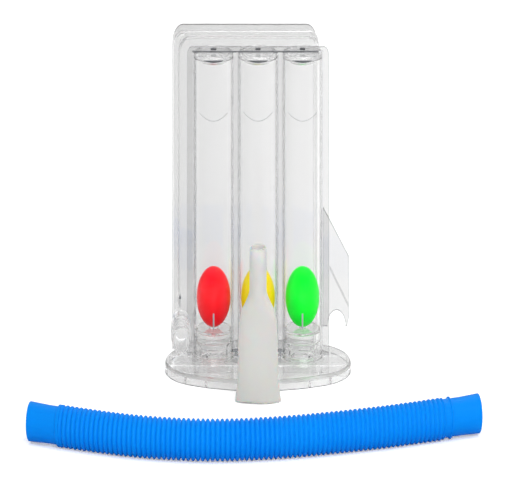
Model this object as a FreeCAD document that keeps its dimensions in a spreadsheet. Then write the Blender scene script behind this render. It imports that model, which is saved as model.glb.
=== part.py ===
"""Three-ball incentive spirometer: clear column block on an oval tray, mouthpiece and corrugated hose.

Lengths are millimetres. +Z is up and -Y faces the user. The origin lies on the surface the tray stands on,
under the axis of the middle column.
"""
import FreeCAD, Part
import math
import os
import Sketcher

doc = FreeCAD.newDocument("incentive_spirometer")
sheet = doc.addObject("Spreadsheet::Sheet", "sizes")

SIZES = {
    # Columns, balls and what closes the columns
    "column_pitch": 34.0,
    "column_outer": 30.4,
    "column_wall": 1.4,
    "column_top": 135.0,
    "ball_outer": 26.0,
    "ball_wall": 0.8,
    "ball_gap": 0.3,
    "seat_top": 17.0,
    "seat_waist": 11.6,
    "seat_neck": 8.2,
    "seat_foot_outer": 22.0,
    "seat_wall": 1.2,
    "inlet_left": 7.0,
    "inlet_middle": 5.8,
    "inlet_right": 4.8,
    "plug_depth": 2.9,
    "plug_tip_outer": 20.8,
    "cap_disc": 1.5,
    "outlet_bore": 12.8,
    "plug_floor": 1.0,
    "cap_recess": 0.45,
    "air_window": 9.0,
    "air_window_height": 1.7,
    "cap_window": 7.2,
    "cap_window_height": 1.6,
    "level_rib_width": 0.9,
    "level_rib_proud": 0.4,
    "level_rib_rise": 2.0,
    "level_rib_height": 7.0,
    "fit_gap": 0.2,
    "bond_gap": 0.15,
    "cut_past": 1.0,
    # Tray
    "tray_margin": 16.7,
    "tray_front": 52.0,
    "tray_rear": 28.0,
    "tray_side": 10.0,
    "tray_straight": 0.5,
    "tray_front_bend": 121.0,
    "tray_height": 4.6,
    "tray_skin": 1.8,
    "tray_rim": 2.0,
    "tray_edge": 1.6,
    "tray_rib": 1.4,
    "rib_inner": 39.5,
    "rib_outer": 55.0,
    "rib_front": 20.0,
    "ring_wall": 1.2,
    "ring_height": 2.0,
    "tray_inlet": 18.0,
    "rim_notch": 12.0,
    # Front panel
    "panel_margin": 5.1,
    "panel_bar": 2.2,
    "panel_thick": 1.8,
    "panel_corner": 4.0,
    "foot_width": 3.2,
    "foot_depth": 4.4,
    "foot_height": 2.6,
    "foot_sink": 0.9,
    # Air box behind the columns
    "box_above": 6.4,
    "box_wall": 1.5,
    "shell_beyond": 7.1,
    "shell_inset": 7.6,
    "shell_depth": 11.1,
    "shell_corner_left": 9.0,
    "shell_corner_right": 6.0,
    "cover_beyond": 4.4,
    "cover_inset": 1.3,
    "cover_depth": 15.0,
    "cover_corner": 8.6,
    # Hose port
    "port_beside": 4.5,
    "port_height": 14.2,
    "port_boss": 16.0,
    "port_collar": 14.6,
    "port_spigot": 13.0,
    "port_bore": 10.4,
    "port_reach": 14.0,
    "collar_length": 1.6,
    "spigot_chamfer": 0.5,
    # Holder fin
    "fin_lap": 4.6,
    "fin_toe": 2.7,
    "fin_chamfer": 1.6,
    "fin_top": 69.0,
    "fin_shoulder": 47.3,
    "fin_waist": 21.0,
    "fin_bottom": 17.0,
    "fin_thick": 1.8,
    "notch_beside": 5.7,
    "notch_radius": 6.9,
    "fin_rib_high": 42.0,
    "fin_rib_low": 25.5,
    "fin_rib_width": 1.6,
    "fin_rib_proud": 0.7,
    "fin_rib_start": 0.3,
    "fin_rib_inset": 0.6,
    # Mouthpiece, standing on its mouth end
    "mouth_forward": 72.0,
    "mouth_height": 67.0,
    "mouth_width": 35.2,
    "mouth_thick": 14.2,
    "mouth_wall": 1.3,
    "waist_width": 30.4,
    "waist_thick": 13.3,
    "shoulder_width": 27.6,
    "shoulder_height": 36.0,
    "neck_outer": 13.0,
    "neck_height": 48.0,
    "neck_step": 0.2,
    # Hose
    "hose_outer": 18.4,
    "hose_bore": 14.4,
    "cuff_outer": 16.5,
    "cuff_bore": 13.2,
    "cuff_ring_outer": 18.2,
    "cuff_ring": 1.6,
    "cuff_left": 27.2,
    "cuff_right": 26.7,
}

for row, (alias, size) in enumerate(SIZES.items(), start=1):
    sheet.set(f"A{row}", alias)
    sheet.set(f"B{row}", str(size))
    sheet.setAlias(f"B{row}", alias)
doc.recompute()

# Points of the hose's centre line, left cuff's inner end to right cuff's inner end, chosen by eye
HOSE_ROUTE = [
    (-149.5, -166.5),
    (-118.0, -179.6),
    (-78.0, -191.0),
    (-30.0, -196.0),
    (18.0, -189.8),
    (64.0, -178.0),
    (108.0, -164.6),
    (144.0, -150.0),
]
COLUMNS = {"left": -1, "middle": 0, "right": 1}

# Widths that follow the row of columns, as expressions of the sheet's sizes
PANEL_HALF = "(sizes.column_pitch + 0.5 * sizes.column_outer + sizes.panel_margin)"
TRAY_HALF = f"({PANEL_HALF} + sizes.tray_margin)"
SHELL_LEFT = f"({PANEL_HALF} + sizes.shell_beyond)"
SHELL_RIGHT = f"({PANEL_HALF} - sizes.shell_inset)"
COVER_LEFT = f"({SHELL_LEFT} + sizes.cover_beyond)"
COVER_RIGHT = f"({SHELL_RIGHT} - sizes.cover_inset)"
PORT_LEFT = f"({PANEL_HALF} + sizes.port_beside)"
NOTCH_CENTRE = f"({PANEL_HALF} + sizes.notch_beside)"
FIN_ROOT = f"({PANEL_HALF} - sizes.fin_lap)"
FIN_REACH = f"({NOTCH_CENTRE} + sizes.notch_radius + sizes.fin_toe)"
SLOT_TOP = "(sizes.column_top + sizes.cap_disc + sizes.fit_gap)"
PANEL_TOP = f"({SLOT_TOP} + sizes.panel_bar)"
BOX_TOP = f"({SLOT_TOP} + sizes.box_above)"
BAY = "(0.5 * sizes.column_outer + sizes.bond_gap)"

# A sloping wall keeps its thickness when its inner line is shifted by this share of it
SLOPE_SHIFT = 0.4

# How the mouthpiece narrows between its ends: the share of a part's height, the share of its change of width
MOUTH_TO_WAIST = ((0.5, 0.76),)
WAIST_TO_SHOULDER = ((0.5, 0.3),)
SHOULDER_TO_NECK = ((0.25, 0.13), (0.5, 0.45), (0.75, 0.79))
kept = []


def size(alias):
    """Gives a driving dimension's value in millimetres."""
    return float(sheet.get(alias))


def keep(obj, node):
    """Names an object as one of the finished sub-parts."""
    obj.Label = node
    kept.append(obj)
    return obj


def body(label):
    """Adds an empty body."""
    made = doc.addObject("PartDesign::Body", label)
    made.Label = label
    return made


def sketch_on(owner, role, offset="0"):
    """Adds a sketch on one of the body's own planes, moved along the plane's normal."""
    plane = [item for item in owner.Origin.OriginFeatures if item.Role == role][0]
    made = owner.newObject("Sketcher::SketchObject", "outline")
    made.AttachmentSupport = [(plane, "")]
    made.MapMode = "FlatFace"
    made.setExpression("AttachmentOffset.Base.z", offset)
    doc.recompute()
    return made


def pin(sketch, shape, point, place):
    """Fixes a point of a sketch at a place given by two expressions."""
    for kind, expression in zip(("DistanceX", "DistanceY"), place):
        value = float(sketch.evalExpression(expression))
        index = sketch.addConstraint(Sketcher.Constraint(kind, -1, 1, shape, point, value))
        sketch.setExpression(f"Constraints[{index}]", expression)


def polygon(sketch, corners):
    """Draws a closed outline of straight lines whose corners are pairs of expressions."""
    spots = [
        FreeCAD.Vector(float(sketch.evalExpression(across)), float(sketch.evalExpression(up)), 0)
        for across, up in corners
    ]
    first = len(sketch.Geometry)
    count = len(spots)
    for step in range(count):
        sketch.addGeometry(Part.LineSegment(spots[step], spots[(step + 1) % count]), False)
    for step in range(count):
        after = first + (step + 1) % count
        sketch.addConstraint(Sketcher.Constraint("Coincident", first + step, 2, after, 1))
    for step, corner in enumerate(corners):
        pin(sketch, first + step, 1, corner)
    return first


def rectangle(sketch, left, right, low, high):
    """Draws a rectangle from four expressions."""
    return polygon(sketch, [(left, low), (right, low), (right, high), (left, high)])


def circle(sketch, across, up, radius):
    """Draws a circle from three expressions."""
    middle = FreeCAD.Vector(float(sketch.evalExpression(across)), float(sketch.evalExpression(up)), 0)
    start = float(sketch.evalExpression(radius))
    made = sketch.addGeometry(Part.Circle(middle, FreeCAD.Vector(0, 0, 1), start), False)
    pin(sketch, made, 3, (across, up))
    index = sketch.addConstraint(Sketcher.Constraint("Radius", made, start))
    sketch.setExpression(f"Constraints[{index}]", radius)
    return made


def pad(owner, sketch, length, reverse=False, midplane=False):
    """Pads a sketch by an expression's length."""
    made = owner.newObject("PartDesign::Pad", "pad")
    made.Profile = sketch
    made.setExpression("Length", length)
    made.Reversed = reverse
    made.Midplane = midplane
    doc.recompute()
    return made


def pocket(owner, sketch, length, reverse=False, midplane=False):
    """Pockets a sketch and stops the build if that takes nothing away."""
    before = owner.Shape.Volume
    made = owner.newObject("PartDesign::Pocket", "pocket")
    made.Profile = sketch
    made.setExpression("Length", length)
    made.Reversed = reverse
    made.Midplane = midplane
    doc.recompute()
    if owner.Shape.Volume >= before:
        raise RuntimeError(f"a pocket of {owner.Label} cut nothing")
    return made


def revolve(owner, corners):
    """Turns a closed outline of (radius, height) expressions about the body's Z axis."""
    sketch = sketch_on(owner, "XZ_Plane")
    polygon(sketch, corners)
    made = owner.newObject("PartDesign::Revolution", "turned")
    made.Profile = sketch
    made.ReferenceAxis = (sketch, ["V_Axis"])
    made.Angle = 360
    doc.recompute()
    return made


def fillet(owner, edges, radius):
    """Rounds the named edges of the body's last feature."""
    before = owner.Tip
    made = owner.newObject("PartDesign::Fillet", "rounding")
    made.Base = (before, edges)
    made.setExpression("Radius", radius)
    doc.recompute()
    return made


def edges_where(shape, wanted, along=None):
    """Gives the names of the edges whose two ends pass a test and that run along a direction, if given."""
    names = []
    for index, edge in enumerate(shape.Edges, start=1):
        ends = [corner.Point for corner in edge.Vertexes]
        if not all(wanted(end) for end in ends):
            continue
        if along is None or (ends[-1] - ends[0]).cross(along).Length < 0.001 < (ends[-1] - ends[0]).Length:
            names.append(f"Edge{index}")
    return names


def cut(label, base, tools):
    """Takes one or more objects away from another."""
    tool = tools[0]
    if len(tools) > 1:
        tool = doc.addObject("Part::MultiFuse", f"{label}_tools")
        tool.Shapes = tools
    made = doc.addObject("Part::Cut", label)
    made.Base = base
    made.Tool = tool
    return made


def block(label, left, right, front, back, low, high):
    """Adds a box from six expressions."""
    made = doc.addObject("Part::Box", label)
    made.setExpression("Length", f"({right}) - ({left})")
    made.setExpression("Width", f"({back}) - ({front})")
    made.setExpression("Height", f"({high}) - ({low})")
    made.setExpression("Placement.Base.x", left)
    made.setExpression("Placement.Base.y", front)
    made.setExpression("Placement.Base.z", low)
    return made


def upright(label, radius, across, low, high):
    """Adds an upright cylinder on the row of columns."""
    made = doc.addObject("Part::Cylinder", label)
    made.setExpression("Radius", radius)
    made.setExpression("Height", f"({high}) - ({low})")
    made.setExpression("Placement.Base.x", across)
    made.setExpression("Placement.Base.z", low)
    return made


def bore_along_y(label, radius, across, up, front, back):
    """Adds a cylinder that runs from front to back."""
    made = doc.addObject("Part::Cylinder", label)
    made.setExpression("Radius", radius)
    made.setExpression("Height", f"({back}) - ({front})")
    turn = FreeCAD.Rotation(FreeCAD.Vector(1, 0, 0), -90)
    made.Placement = FreeCAD.Placement(FreeCAD.Vector(0, 0, 0), turn)
    made.setExpression("Placement.Base.x", across)
    made.setExpression("Placement.Base.y", front)
    made.setExpression("Placement.Base.z", up)
    return made


def place_of(side):
    """Gives the expression for a column's place across the row."""
    return f"{COLUMNS[side]} * sizes.column_pitch"


def tray_outline(label, inset, height, rounded):
    """Makes a slab with the tray's outline: a long front bow, wide corners and a straight back."""
    half = f"({TRAY_HALF} - {inset})"
    bend = f"(sizes.tray_front_bend - {inset})"
    middle = "(sizes.tray_front_bend - sizes.tray_front)"
    back = f"(sizes.tray_rear - {inset})"
    owner = body(label)
    sketch = sketch_on(owner, "XY_Plane")
    half_value = float(sketch.evalExpression(half))
    bend_value = float(sketch.evalExpression(bend))
    middle_value = float(sketch.evalExpression(middle))
    back_value = float(sketch.evalExpression(back))
    reach = math.acos(half_value / bend_value)
    circle_of_front = Part.Circle(FreeCAD.Vector(0, middle_value, 0), FreeCAD.Vector(0, 0, 1), bend_value)
    bow = sketch.addGeometry(Part.ArcOfCircle(circle_of_front, math.pi + reach, 2 * math.pi - reach), False)
    side_value = middle_value - math.sqrt(bend_value ** 2 - half_value ** 2)
    spots = [
        FreeCAD.Vector(half_value, side_value, 0),
        FreeCAD.Vector(half_value, back_value, 0),
        FreeCAD.Vector(-half_value, back_value, 0),
        FreeCAD.Vector(-half_value, side_value, 0),
    ]
    right = sketch.addGeometry(Part.LineSegment(spots[0], spots[1]), False)
    rear = sketch.addGeometry(Part.LineSegment(spots[1], spots[2]), False)
    left = sketch.addGeometry(Part.LineSegment(spots[2], spots[3]), False)
    joints = ((bow, 2, right, 1), (right, 2, rear, 1), (rear, 2, left, 1), (left, 2, bow, 1))
    for first, end, second, start in joints:
        sketch.addConstraint(Sketcher.Constraint("Coincident", first, end, second, start))
    pin(sketch, bow, 3, ("0", middle))
    index = sketch.addConstraint(Sketcher.Constraint("Radius", bow, bend_value))
    sketch.setExpression(f"Constraints[{index}]", bend)
    pin(sketch, rear, 1, (half, back))
    pin(sketch, rear, 2, (f"-{half}", back))
    sketch.addConstraint(Sketcher.Constraint("Vertical", right))
    sketch.addConstraint(Sketcher.Constraint("Vertical", left))
    pad(owner, sketch, height)
    rear_corner = f"sizes.tray_rear + sizes.tray_side - {inset} - sizes.tray_straight"
    side_point = "(sizes.tray_front_bend - sizes.tray_front + sizes.tray_side + sizes.tray_straight)"
    squares = f"{bend} * {bend} - {half} * {half} - {side_point} * {side_point}"
    front_corner = f"({squares}) / (2 * ({bend} - {half}))"

    def upright_edge(at_back):
        """Tests a point for lying on one of the slab's upright edges at its front or back."""
        line = back_value if at_back else side_value
        return lambda point: abs(abs(point.x) - half_value) < 0.01 and abs(point.y - line) < 0.01

    upwards = FreeCAD.Vector(0, 0, 1)
    fillet(owner, edges_where(owner.Shape, upright_edge(True), upwards), rear_corner)
    fillet(owner, edges_where(owner.Shape, upright_edge(False), upwards), front_corner)
    if rounded:
        top = owner.Shape.BoundBox.ZMax
        fillet(owner, edges_where(owner.Shape, lambda point: abs(point.z - top) < 0.001), "sizes.tray_edge")
    return owner


def base_tray():
    """Makes the tray: hollow below, ribbed, with inlets, locating rings and slots for the panel's feet."""
    blank = tray_outline("tray_blank", "0", "sizes.tray_height", True)
    core = tray_outline("tray_core", "sizes.tray_rim", "sizes.tray_height - sizes.tray_skin", False)
    hollow = cut("tray_hollow", blank, [core])
    half_rib = "0.5 * sizes.tray_rib"
    bars = []
    places = ("-sizes.rib_outer", "-sizes.rib_inner", "sizes.rib_inner", "sizes.rib_outer")
    for number, across in enumerate(places):
        bars.append(block(
            f"rib_along_{number}", f"{across} - {half_rib}", f"{across} + {half_rib}",
            "-sizes.tray_front", "sizes.tray_rear", "0", "sizes.tray_height",
        ))
    for number, forward in enumerate(("0", "-sizes.rib_front")):
        bars.append(block(
            f"rib_across_{number}", f"-{TRAY_HALF}", TRAY_HALF,
            f"{forward} - {half_rib}", f"{forward} + {half_rib}", "0", "sizes.tray_height",
        ))
    grid = doc.addObject("Part::MultiFuse", "rib_grid")
    grid.Shapes = bars
    ribs = doc.addObject("Part::MultiCommon", "ribs")
    ribs.Shapes = [core, grid]
    rings = []
    openings = []
    for side in COLUMNS:
        ring = upright(
            f"ring_{side}", f"{BAY} + sizes.ring_wall", place_of(side),
            "sizes.tray_height - 0.5 * sizes.tray_skin", "sizes.tray_height + sizes.ring_height",
        )
        rings.append(ring)
        openings.append(upright(
            f"ring_bore_{side}", BAY, place_of(side),
            "sizes.tray_height", "sizes.tray_height + 2 * sizes.ring_height",
        ))
        openings.append(upright(
            f"inlet_{side}", "0.5 * sizes.tray_inlet", place_of(side),
            "sizes.tray_height - sizes.tray_skin", "2 * sizes.tray_height",
        ))
    solid = doc.addObject("Part::MultiFuse", "tray_solid")
    solid.Shapes = [hollow, ribs] + rings
    slot = "(0.5 * sizes.foot_width + sizes.bond_gap)"
    for side in (-1, 1):
        openings.append(block(
            f"foot_slot_{side + 1}",
            f"{side} * 0.5 * sizes.column_pitch - {slot}", f"{side} * 0.5 * sizes.column_pitch + {slot}",
            "-0.5 * sizes.foot_depth - sizes.bond_gap", "0.5 * sizes.foot_depth + sizes.bond_gap",
            "sizes.tray_height - sizes.foot_sink", "sizes.tray_height + 2 * sizes.ring_height",
        ))
        openings.append(block(
            f"panel_slot_{side + 1}",
            f"{side} * (sizes.column_pitch + {BAY} + 0.5 * sizes.ring_wall) - sizes.ring_wall",
            f"{side} * (sizes.column_pitch + {BAY} + 0.5 * sizes.ring_wall) + sizes.ring_wall",
            "-0.5 * sizes.panel_thick - sizes.bond_gap",
            "0.5 * sizes.panel_thick + sizes.fin_thick + sizes.bond_gap",
            "sizes.tray_height", "sizes.tray_height + 2 * sizes.ring_height",
        ))
    openings.append(block(
        "wall_slot_behind", f"-{COVER_LEFT}", PANEL_HALF,
        "0.5 * sizes.panel_thick", "sizes.tray_rear",
        "sizes.tray_height", "sizes.tray_height + 2 * sizes.ring_height",
    ))
    for side in (-1, 0, 1):
        openings.append(block(
            f"rim_notch_{side + 1}",
            f"{side} * 2 * sizes.rim_notch - 0.5 * sizes.rim_notch",
            f"{side} * 2 * sizes.rim_notch + 0.5 * sizes.rim_notch",
            "sizes.tray_rear - 1.5 * sizes.tray_rim", "sizes.tray_rear + sizes.tray_rim",
            "-sizes.cut_past", "0.5 * (sizes.tray_height - sizes.tray_skin)",
        ))
    keep(cut("tray", solid, openings), "base_tray")


def column(side):
    """Makes one clear tube with an air window at the top of its back and a short rib low in front."""
    owner = body(f"tube_{side}")
    outer = "0.5 * sizes.column_outer"
    bore = "(0.5 * sizes.column_outer - sizes.column_wall)"
    revolve(owner, [
        (bore, "sizes.tray_height"), (outer, "sizes.tray_height"),
        (outer, "sizes.column_top"), (bore, "sizes.column_top"),
    ])
    window = sketch_on(owner, "XZ_Plane")
    rectangle(
        window, "-0.5 * sizes.air_window", "0.5 * sizes.air_window",
        "sizes.column_top - sizes.air_window_height", "sizes.column_top + sizes.cut_past",
    )
    pocket(owner, window, "sizes.column_outer")
    rib = sketch_on(owner, "XY_Plane", "sizes.seat_top + sizes.level_rib_rise")
    rectangle(
        rib, "-0.5 * sizes.level_rib_width", "0.5 * sizes.level_rib_width",
        f"-{outer} - sizes.level_rib_proud", f"-{outer} + 0.5 * sizes.column_wall",
    )
    pad(owner, rib, "sizes.level_rib_height")
    owner.setExpression("Placement.Base.x", place_of(side))
    keep(owner, f"column_{side}")


def seat(side):
    """Makes the stepped cup that carries a ball and meters its air through a bore of its own size."""
    owner = body(f"cup_{side}")
    outer = "(0.5 * sizes.column_outer - sizes.column_wall - sizes.fit_gap)"
    foot = "0.5 * sizes.seat_foot_outer"
    inlet = f"0.5 * sizes.inlet_{side}"
    revolve(owner, [
        (inlet, "sizes.seat_top"),
        (outer, "sizes.seat_top"),
        (outer, "sizes.seat_waist"),
        (foot, "sizes.seat_neck"),
        (foot, "sizes.tray_height"),
        (f"{foot} - sizes.seat_wall", "sizes.tray_height"),
        (f"{foot} - sizes.seat_wall", f"sizes.seat_neck + {SLOPE_SHIFT} * sizes.seat_wall"),
        (f"{outer} - sizes.seat_wall", f"sizes.seat_waist + {SLOPE_SHIFT} * sizes.seat_wall"),
        (f"{outer} - sizes.seat_wall", "sizes.seat_top - sizes.seat_wall"),
        (inlet, "sizes.seat_top - sizes.seat_wall"),
    ])
    owner.setExpression("Placement.Base.x", place_of(side))
    keep(owner, f"seat_{side}")


def cap(side):
    """Makes the hollow tapered plug in a column's top, with an outlet below and a window at the back."""
    owner = body(f"plug_{side}")
    flange = "0.5 * sizes.column_outer"
    root = "(0.5 * sizes.column_outer - sizes.column_wall - sizes.fit_gap)"
    tip = "0.5 * sizes.plug_tip_outer"
    low = "(sizes.column_top - sizes.plug_depth)"
    outlet = "0.5 * sizes.outlet_bore"
    revolve(owner, [
        (outlet, low),
        (tip, low),
        (root, "sizes.column_top"),
        (flange, "sizes.column_top"),
        (flange, "sizes.column_top + sizes.cap_disc"),
        ("0", "sizes.column_top + sizes.cap_disc"),
        ("0", "sizes.column_top + sizes.cap_recess"),
        (f"{root} - sizes.seat_wall", "sizes.column_top + sizes.cap_recess"),
        (f"{tip} - sizes.seat_wall", f"{low} + sizes.plug_floor"),
        (outlet, f"{low} + sizes.plug_floor"),
    ])
    window = sketch_on(owner, "XZ_Plane")
    rectangle(
        window, "-0.5 * sizes.cap_window", "0.5 * sizes.cap_window",
        "sizes.column_top - sizes.cap_window_height", "sizes.column_top",
    )
    pocket(owner, window, "sizes.column_outer")
    owner.setExpression("Placement.Base.x", place_of(side))
    keep(owner, f"cap_{side}")


def ball(side, colour):
    """Makes a hollow ball that rests just clear of its seat."""
    shell = doc.addObject("Part::Sphere", f"shell_{colour}")
    shell.setExpression("Radius", "0.5 * sizes.ball_outer")
    void = doc.addObject("Part::Sphere", f"void_{colour}")
    void.setExpression("Radius", "0.5 * sizes.ball_outer - sizes.ball_wall")
    for sphere in (shell, void):
        sphere.setExpression("Placement.Base.x", place_of(side))
        sphere.setExpression("Placement.Base.z", "sizes.seat_top + sizes.ball_gap + 0.5 * sizes.ball_outer")
    keep(cut(f"hollow_{colour}", shell, [void]), f"ball_{colour}")


def front_panel():
    """Makes the flange between and beside the columns: one plate, slotted for them, on four feet."""
    owner = body("flange")
    half = PANEL_HALF
    low = "sizes.tray_height"
    corners = [(f"-{half}", low), (f"-{half}", PANEL_TOP), (half, PANEL_TOP), (half, low)]
    for side in ("right", "middle", "left"):
        corners.append((f"{place_of(side)} + {BAY}", low))
        corners.append((f"{place_of(side)} + {BAY}", SLOT_TOP))
        corners.append((f"{place_of(side)} - {BAY}", SLOT_TOP))
        corners.append((f"{place_of(side)} - {BAY}", low))
    sketch = sketch_on(owner, "XZ_Plane")
    polygon(sketch, corners)
    pad(owner, sketch, "sizes.panel_thick", midplane=True)
    top = float(sketch.evalExpression(PANEL_TOP))
    half_value = float(sketch.evalExpression(half))
    corner_edges = edges_where(
        owner.Shape,
        lambda point: abs(point.z - top) < 0.001 and abs(abs(point.x) - half_value) < 0.001,
        FreeCAD.Vector(0, 1, 0),
    )
    fillet(owner, corner_edges, "sizes.panel_corner")
    port = sketch_on(owner, "XZ_Plane")
    circle(port, f"-{PORT_LEFT}", "sizes.port_height", "0.5 * sizes.port_boss + sizes.bond_gap")
    pocket(owner, port, "2 * sizes.panel_thick", midplane=True)
    feet = sketch_on(owner, "XZ_Plane")
    for side in (-1, 1):
        rectangle(
            feet,
            f"{side} * 0.5 * sizes.column_pitch - 0.5 * sizes.foot_width",
            f"{side} * 0.5 * sizes.column_pitch + 0.5 * sizes.foot_width",
            "sizes.tray_height - sizes.foot_sink", "sizes.tray_height + sizes.foot_height",
        )
    pad(owner, feet, "sizes.foot_depth", midplane=True)
    keep(owner, "front_panel")


def slab(label, left, right, high, front, depth, corner_left, corner_right, low="sizes.tray_height"):
    """Makes an upright slab on the tray with rounded top corners, from its front plane backwards."""
    owner = body(label)
    sketch = sketch_on(owner, "XZ_Plane", f"-({front})")
    rectangle(sketch, f"-({left})", right, low, high)
    pad(owner, sketch, depth, reverse=True)
    for sign, radius in ((-1, corner_left), (1, corner_right)):
        box = owner.Shape.BoundBox
        edge_x = box.XMin if sign < 0 else box.XMax
        names = edges_where(
            owner.Shape,
            lambda point: abs(point.x - edge_x) < 0.001 and abs(point.z - box.ZMax) < 0.001,
            FreeCAD.Vector(0, 1, 0),
        )
        fillet(owner, names, radius)
    return owner


def plenum_shell():
    """Makes the front half of the air box, cut where the columns and the hose port stand in it."""
    front = "0.5 * sizes.panel_thick"
    wall = "sizes.box_wall"
    outer = slab(
        "shell_outer", SHELL_LEFT, SHELL_RIGHT, BOX_TOP,
        front, "sizes.shell_depth", "sizes.shell_corner_left", "sizes.shell_corner_right",
    )
    inner = slab(
        "shell_inner", f"{SHELL_LEFT} - {wall}", f"{SHELL_RIGHT} - {wall}", f"{BOX_TOP} - {wall}",
        f"{front} + {wall}", "sizes.shell_depth",
        f"sizes.shell_corner_left - {wall}", f"sizes.shell_corner_right - {wall}",
    )
    window = block(
        "shell_window", f"-(sizes.column_pitch + {BAY})", f"{SHELL_RIGHT} - {wall}",
        "0", f"{front} + 2 * {wall}", "0", SLOT_TOP,
    )
    tools = [inner, window]
    for side in COLUMNS:
        tools.append(upright(f"shell_bay_{side}", BAY, place_of(side), "0", SLOT_TOP))
    tools.append(bore_along_y(
        "shell_port", "0.5 * sizes.port_boss + sizes.bond_gap", f"-{PORT_LEFT}", "sizes.port_height",
        "-sizes.shell_depth", f"{front} + 2 * sizes.shell_depth",
    ))
    keep(cut("shell", outer, tools), "plenum_shell")


def rear_cover():
    """Makes the rear half of the air box: back, sides, floor and a lip that meets the front half's edge."""
    front = "(0.5 * sizes.panel_thick + sizes.shell_depth)"
    wall = "sizes.box_wall"
    outer = slab(
        "cover_outer", COVER_LEFT, COVER_RIGHT, BOX_TOP,
        front, "sizes.cover_depth", "sizes.cover_corner", "sizes.cover_corner",
    )
    inner = slab(
        "cover_inner", f"{COVER_LEFT} - {wall}", f"{COVER_RIGHT} - {wall}", f"{BOX_TOP} - {wall}",
        f"{front} + {wall}", f"sizes.cover_depth - 2 * {wall}",
        f"sizes.cover_corner - {wall}", f"sizes.cover_corner - {wall}", f"sizes.tray_height + {wall}",
    )
    window = slab(
        "cover_window", f"{SHELL_LEFT} - {wall}", f"{COVER_RIGHT} - {wall}", f"{BOX_TOP} - {wall}",
        f"{front} - {wall}", f"3 * {wall}",
        f"sizes.cover_corner - {wall}", f"sizes.cover_corner - {wall}", f"sizes.tray_height + {wall}",
    )
    tools = [inner, window]
    for side in COLUMNS:
        tools.append(upright(f"cover_bay_{side}", BAY, place_of(side), "0", SLOT_TOP))
    tools.append(bore_along_y(
        "cover_port", "0.5 * sizes.port_bore", f"-{PORT_LEFT}", "sizes.port_height",
        "0", f"{front} + 2 * {wall}",
    ))
    keep(cut("cover", outer, tools), "rear_cover")


def hose_port():
    """Makes the spigot at the lower left: a boss in the air box, a collar and the tube the hose grips."""
    owner = body("spigot")
    bore = "0.5 * sizes.port_bore"
    back = "-(0.5 * sizes.panel_thick + sizes.shell_depth)"
    collar = "0.5 * sizes.panel_thick"
    collar_end = f"({collar} + sizes.collar_length)"
    revolve(owner, [
        (bore, back),
        ("0.5 * sizes.port_boss", back),
        ("0.5 * sizes.port_boss", collar),
        ("0.5 * sizes.port_collar", collar),
        ("0.5 * sizes.port_collar", collar_end),
        ("0.5 * sizes.port_spigot", collar_end),
        ("0.5 * sizes.port_spigot", "sizes.port_reach - sizes.spigot_chamfer"),
        ("0.5 * sizes.port_spigot - sizes.spigot_chamfer", "sizes.port_reach"),
        (bore, "sizes.port_reach"),
    ])
    turn = FreeCAD.Rotation(FreeCAD.Vector(1, 0, 0), 90)
    owner.Placement = FreeCAD.Placement(FreeCAD.Vector(0, 0, 0), turn)
    owner.setExpression("Placement.Base.x", f"-{PORT_LEFT}")
    owner.setExpression("Placement.Base.z", "sizes.port_height")
    keep(owner, "hose_port")


def holder_fin():
    """Makes the fin behind the panel's right edge, with the open notch that holds the hose's end."""
    owner = body("fin")
    sketch = sketch_on(owner, "XZ_Plane", "-0.5 * sizes.panel_thick")
    corners = [
        (f"{NOTCH_CENTRE} - sizes.notch_radius", "sizes.fin_bottom"),
        (FIN_ROOT, "sizes.fin_bottom"),
        (FIN_ROOT, "sizes.fin_top"),
        (FIN_REACH, "sizes.fin_shoulder"),
        (FIN_REACH, "sizes.fin_waist"),
        (f"{FIN_REACH} - sizes.fin_chamfer", "sizes.fin_bottom"),
        (f"{NOTCH_CENTRE} + sizes.notch_radius", "sizes.fin_bottom"),
    ]
    spots = [
        FreeCAD.Vector(float(sketch.evalExpression(across)), float(sketch.evalExpression(up)), 0)
        for across, up in corners
    ]
    for start, end in zip(spots, spots[1:]):
        sketch.addGeometry(Part.LineSegment(start, end), False)
    middle = FreeCAD.Vector(float(sketch.evalExpression(NOTCH_CENTRE)), size("fin_bottom"), 0)
    rim = Part.Circle(middle, FreeCAD.Vector(0, 0, 1), size("notch_radius"))
    notch = sketch.addGeometry(Part.ArcOfCircle(rim, 0, math.pi), False)
    for step in range(notch - 1):
        sketch.addConstraint(Sketcher.Constraint("Coincident", step, 2, step + 1, 1))
    sketch.addConstraint(Sketcher.Constraint("Coincident", notch - 1, 2, notch, 1))
    sketch.addConstraint(Sketcher.Constraint("Coincident", notch, 2, 0, 1))
    for step, corner in enumerate(corners[:-1]):
        pin(sketch, step, 1, corner)
    pin(sketch, notch, 3, (NOTCH_CENTRE, "sizes.fin_bottom"))
    sketch.addConstraint(Sketcher.Constraint("Horizontal", notch, 3, notch, 1))
    pad(owner, sketch, "sizes.fin_thick", reverse=True)
    rib = sketch_on(owner, "XZ_Plane", "-0.5 * sizes.panel_thick")
    near = f"{PANEL_HALF} + sizes.fin_rib_start"
    far = f"{FIN_REACH} - sizes.fin_rib_inset"
    polygon(rib, [
        (near, "sizes.fin_rib_high"), (far, "sizes.fin_rib_low"),
        (far, "sizes.fin_rib_low + sizes.fin_rib_width"), (near, "sizes.fin_rib_high + sizes.fin_rib_width"),
    ])
    pad(owner, rib, "sizes.fin_rib_proud")
    keep(owner, "holder_fin")


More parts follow.
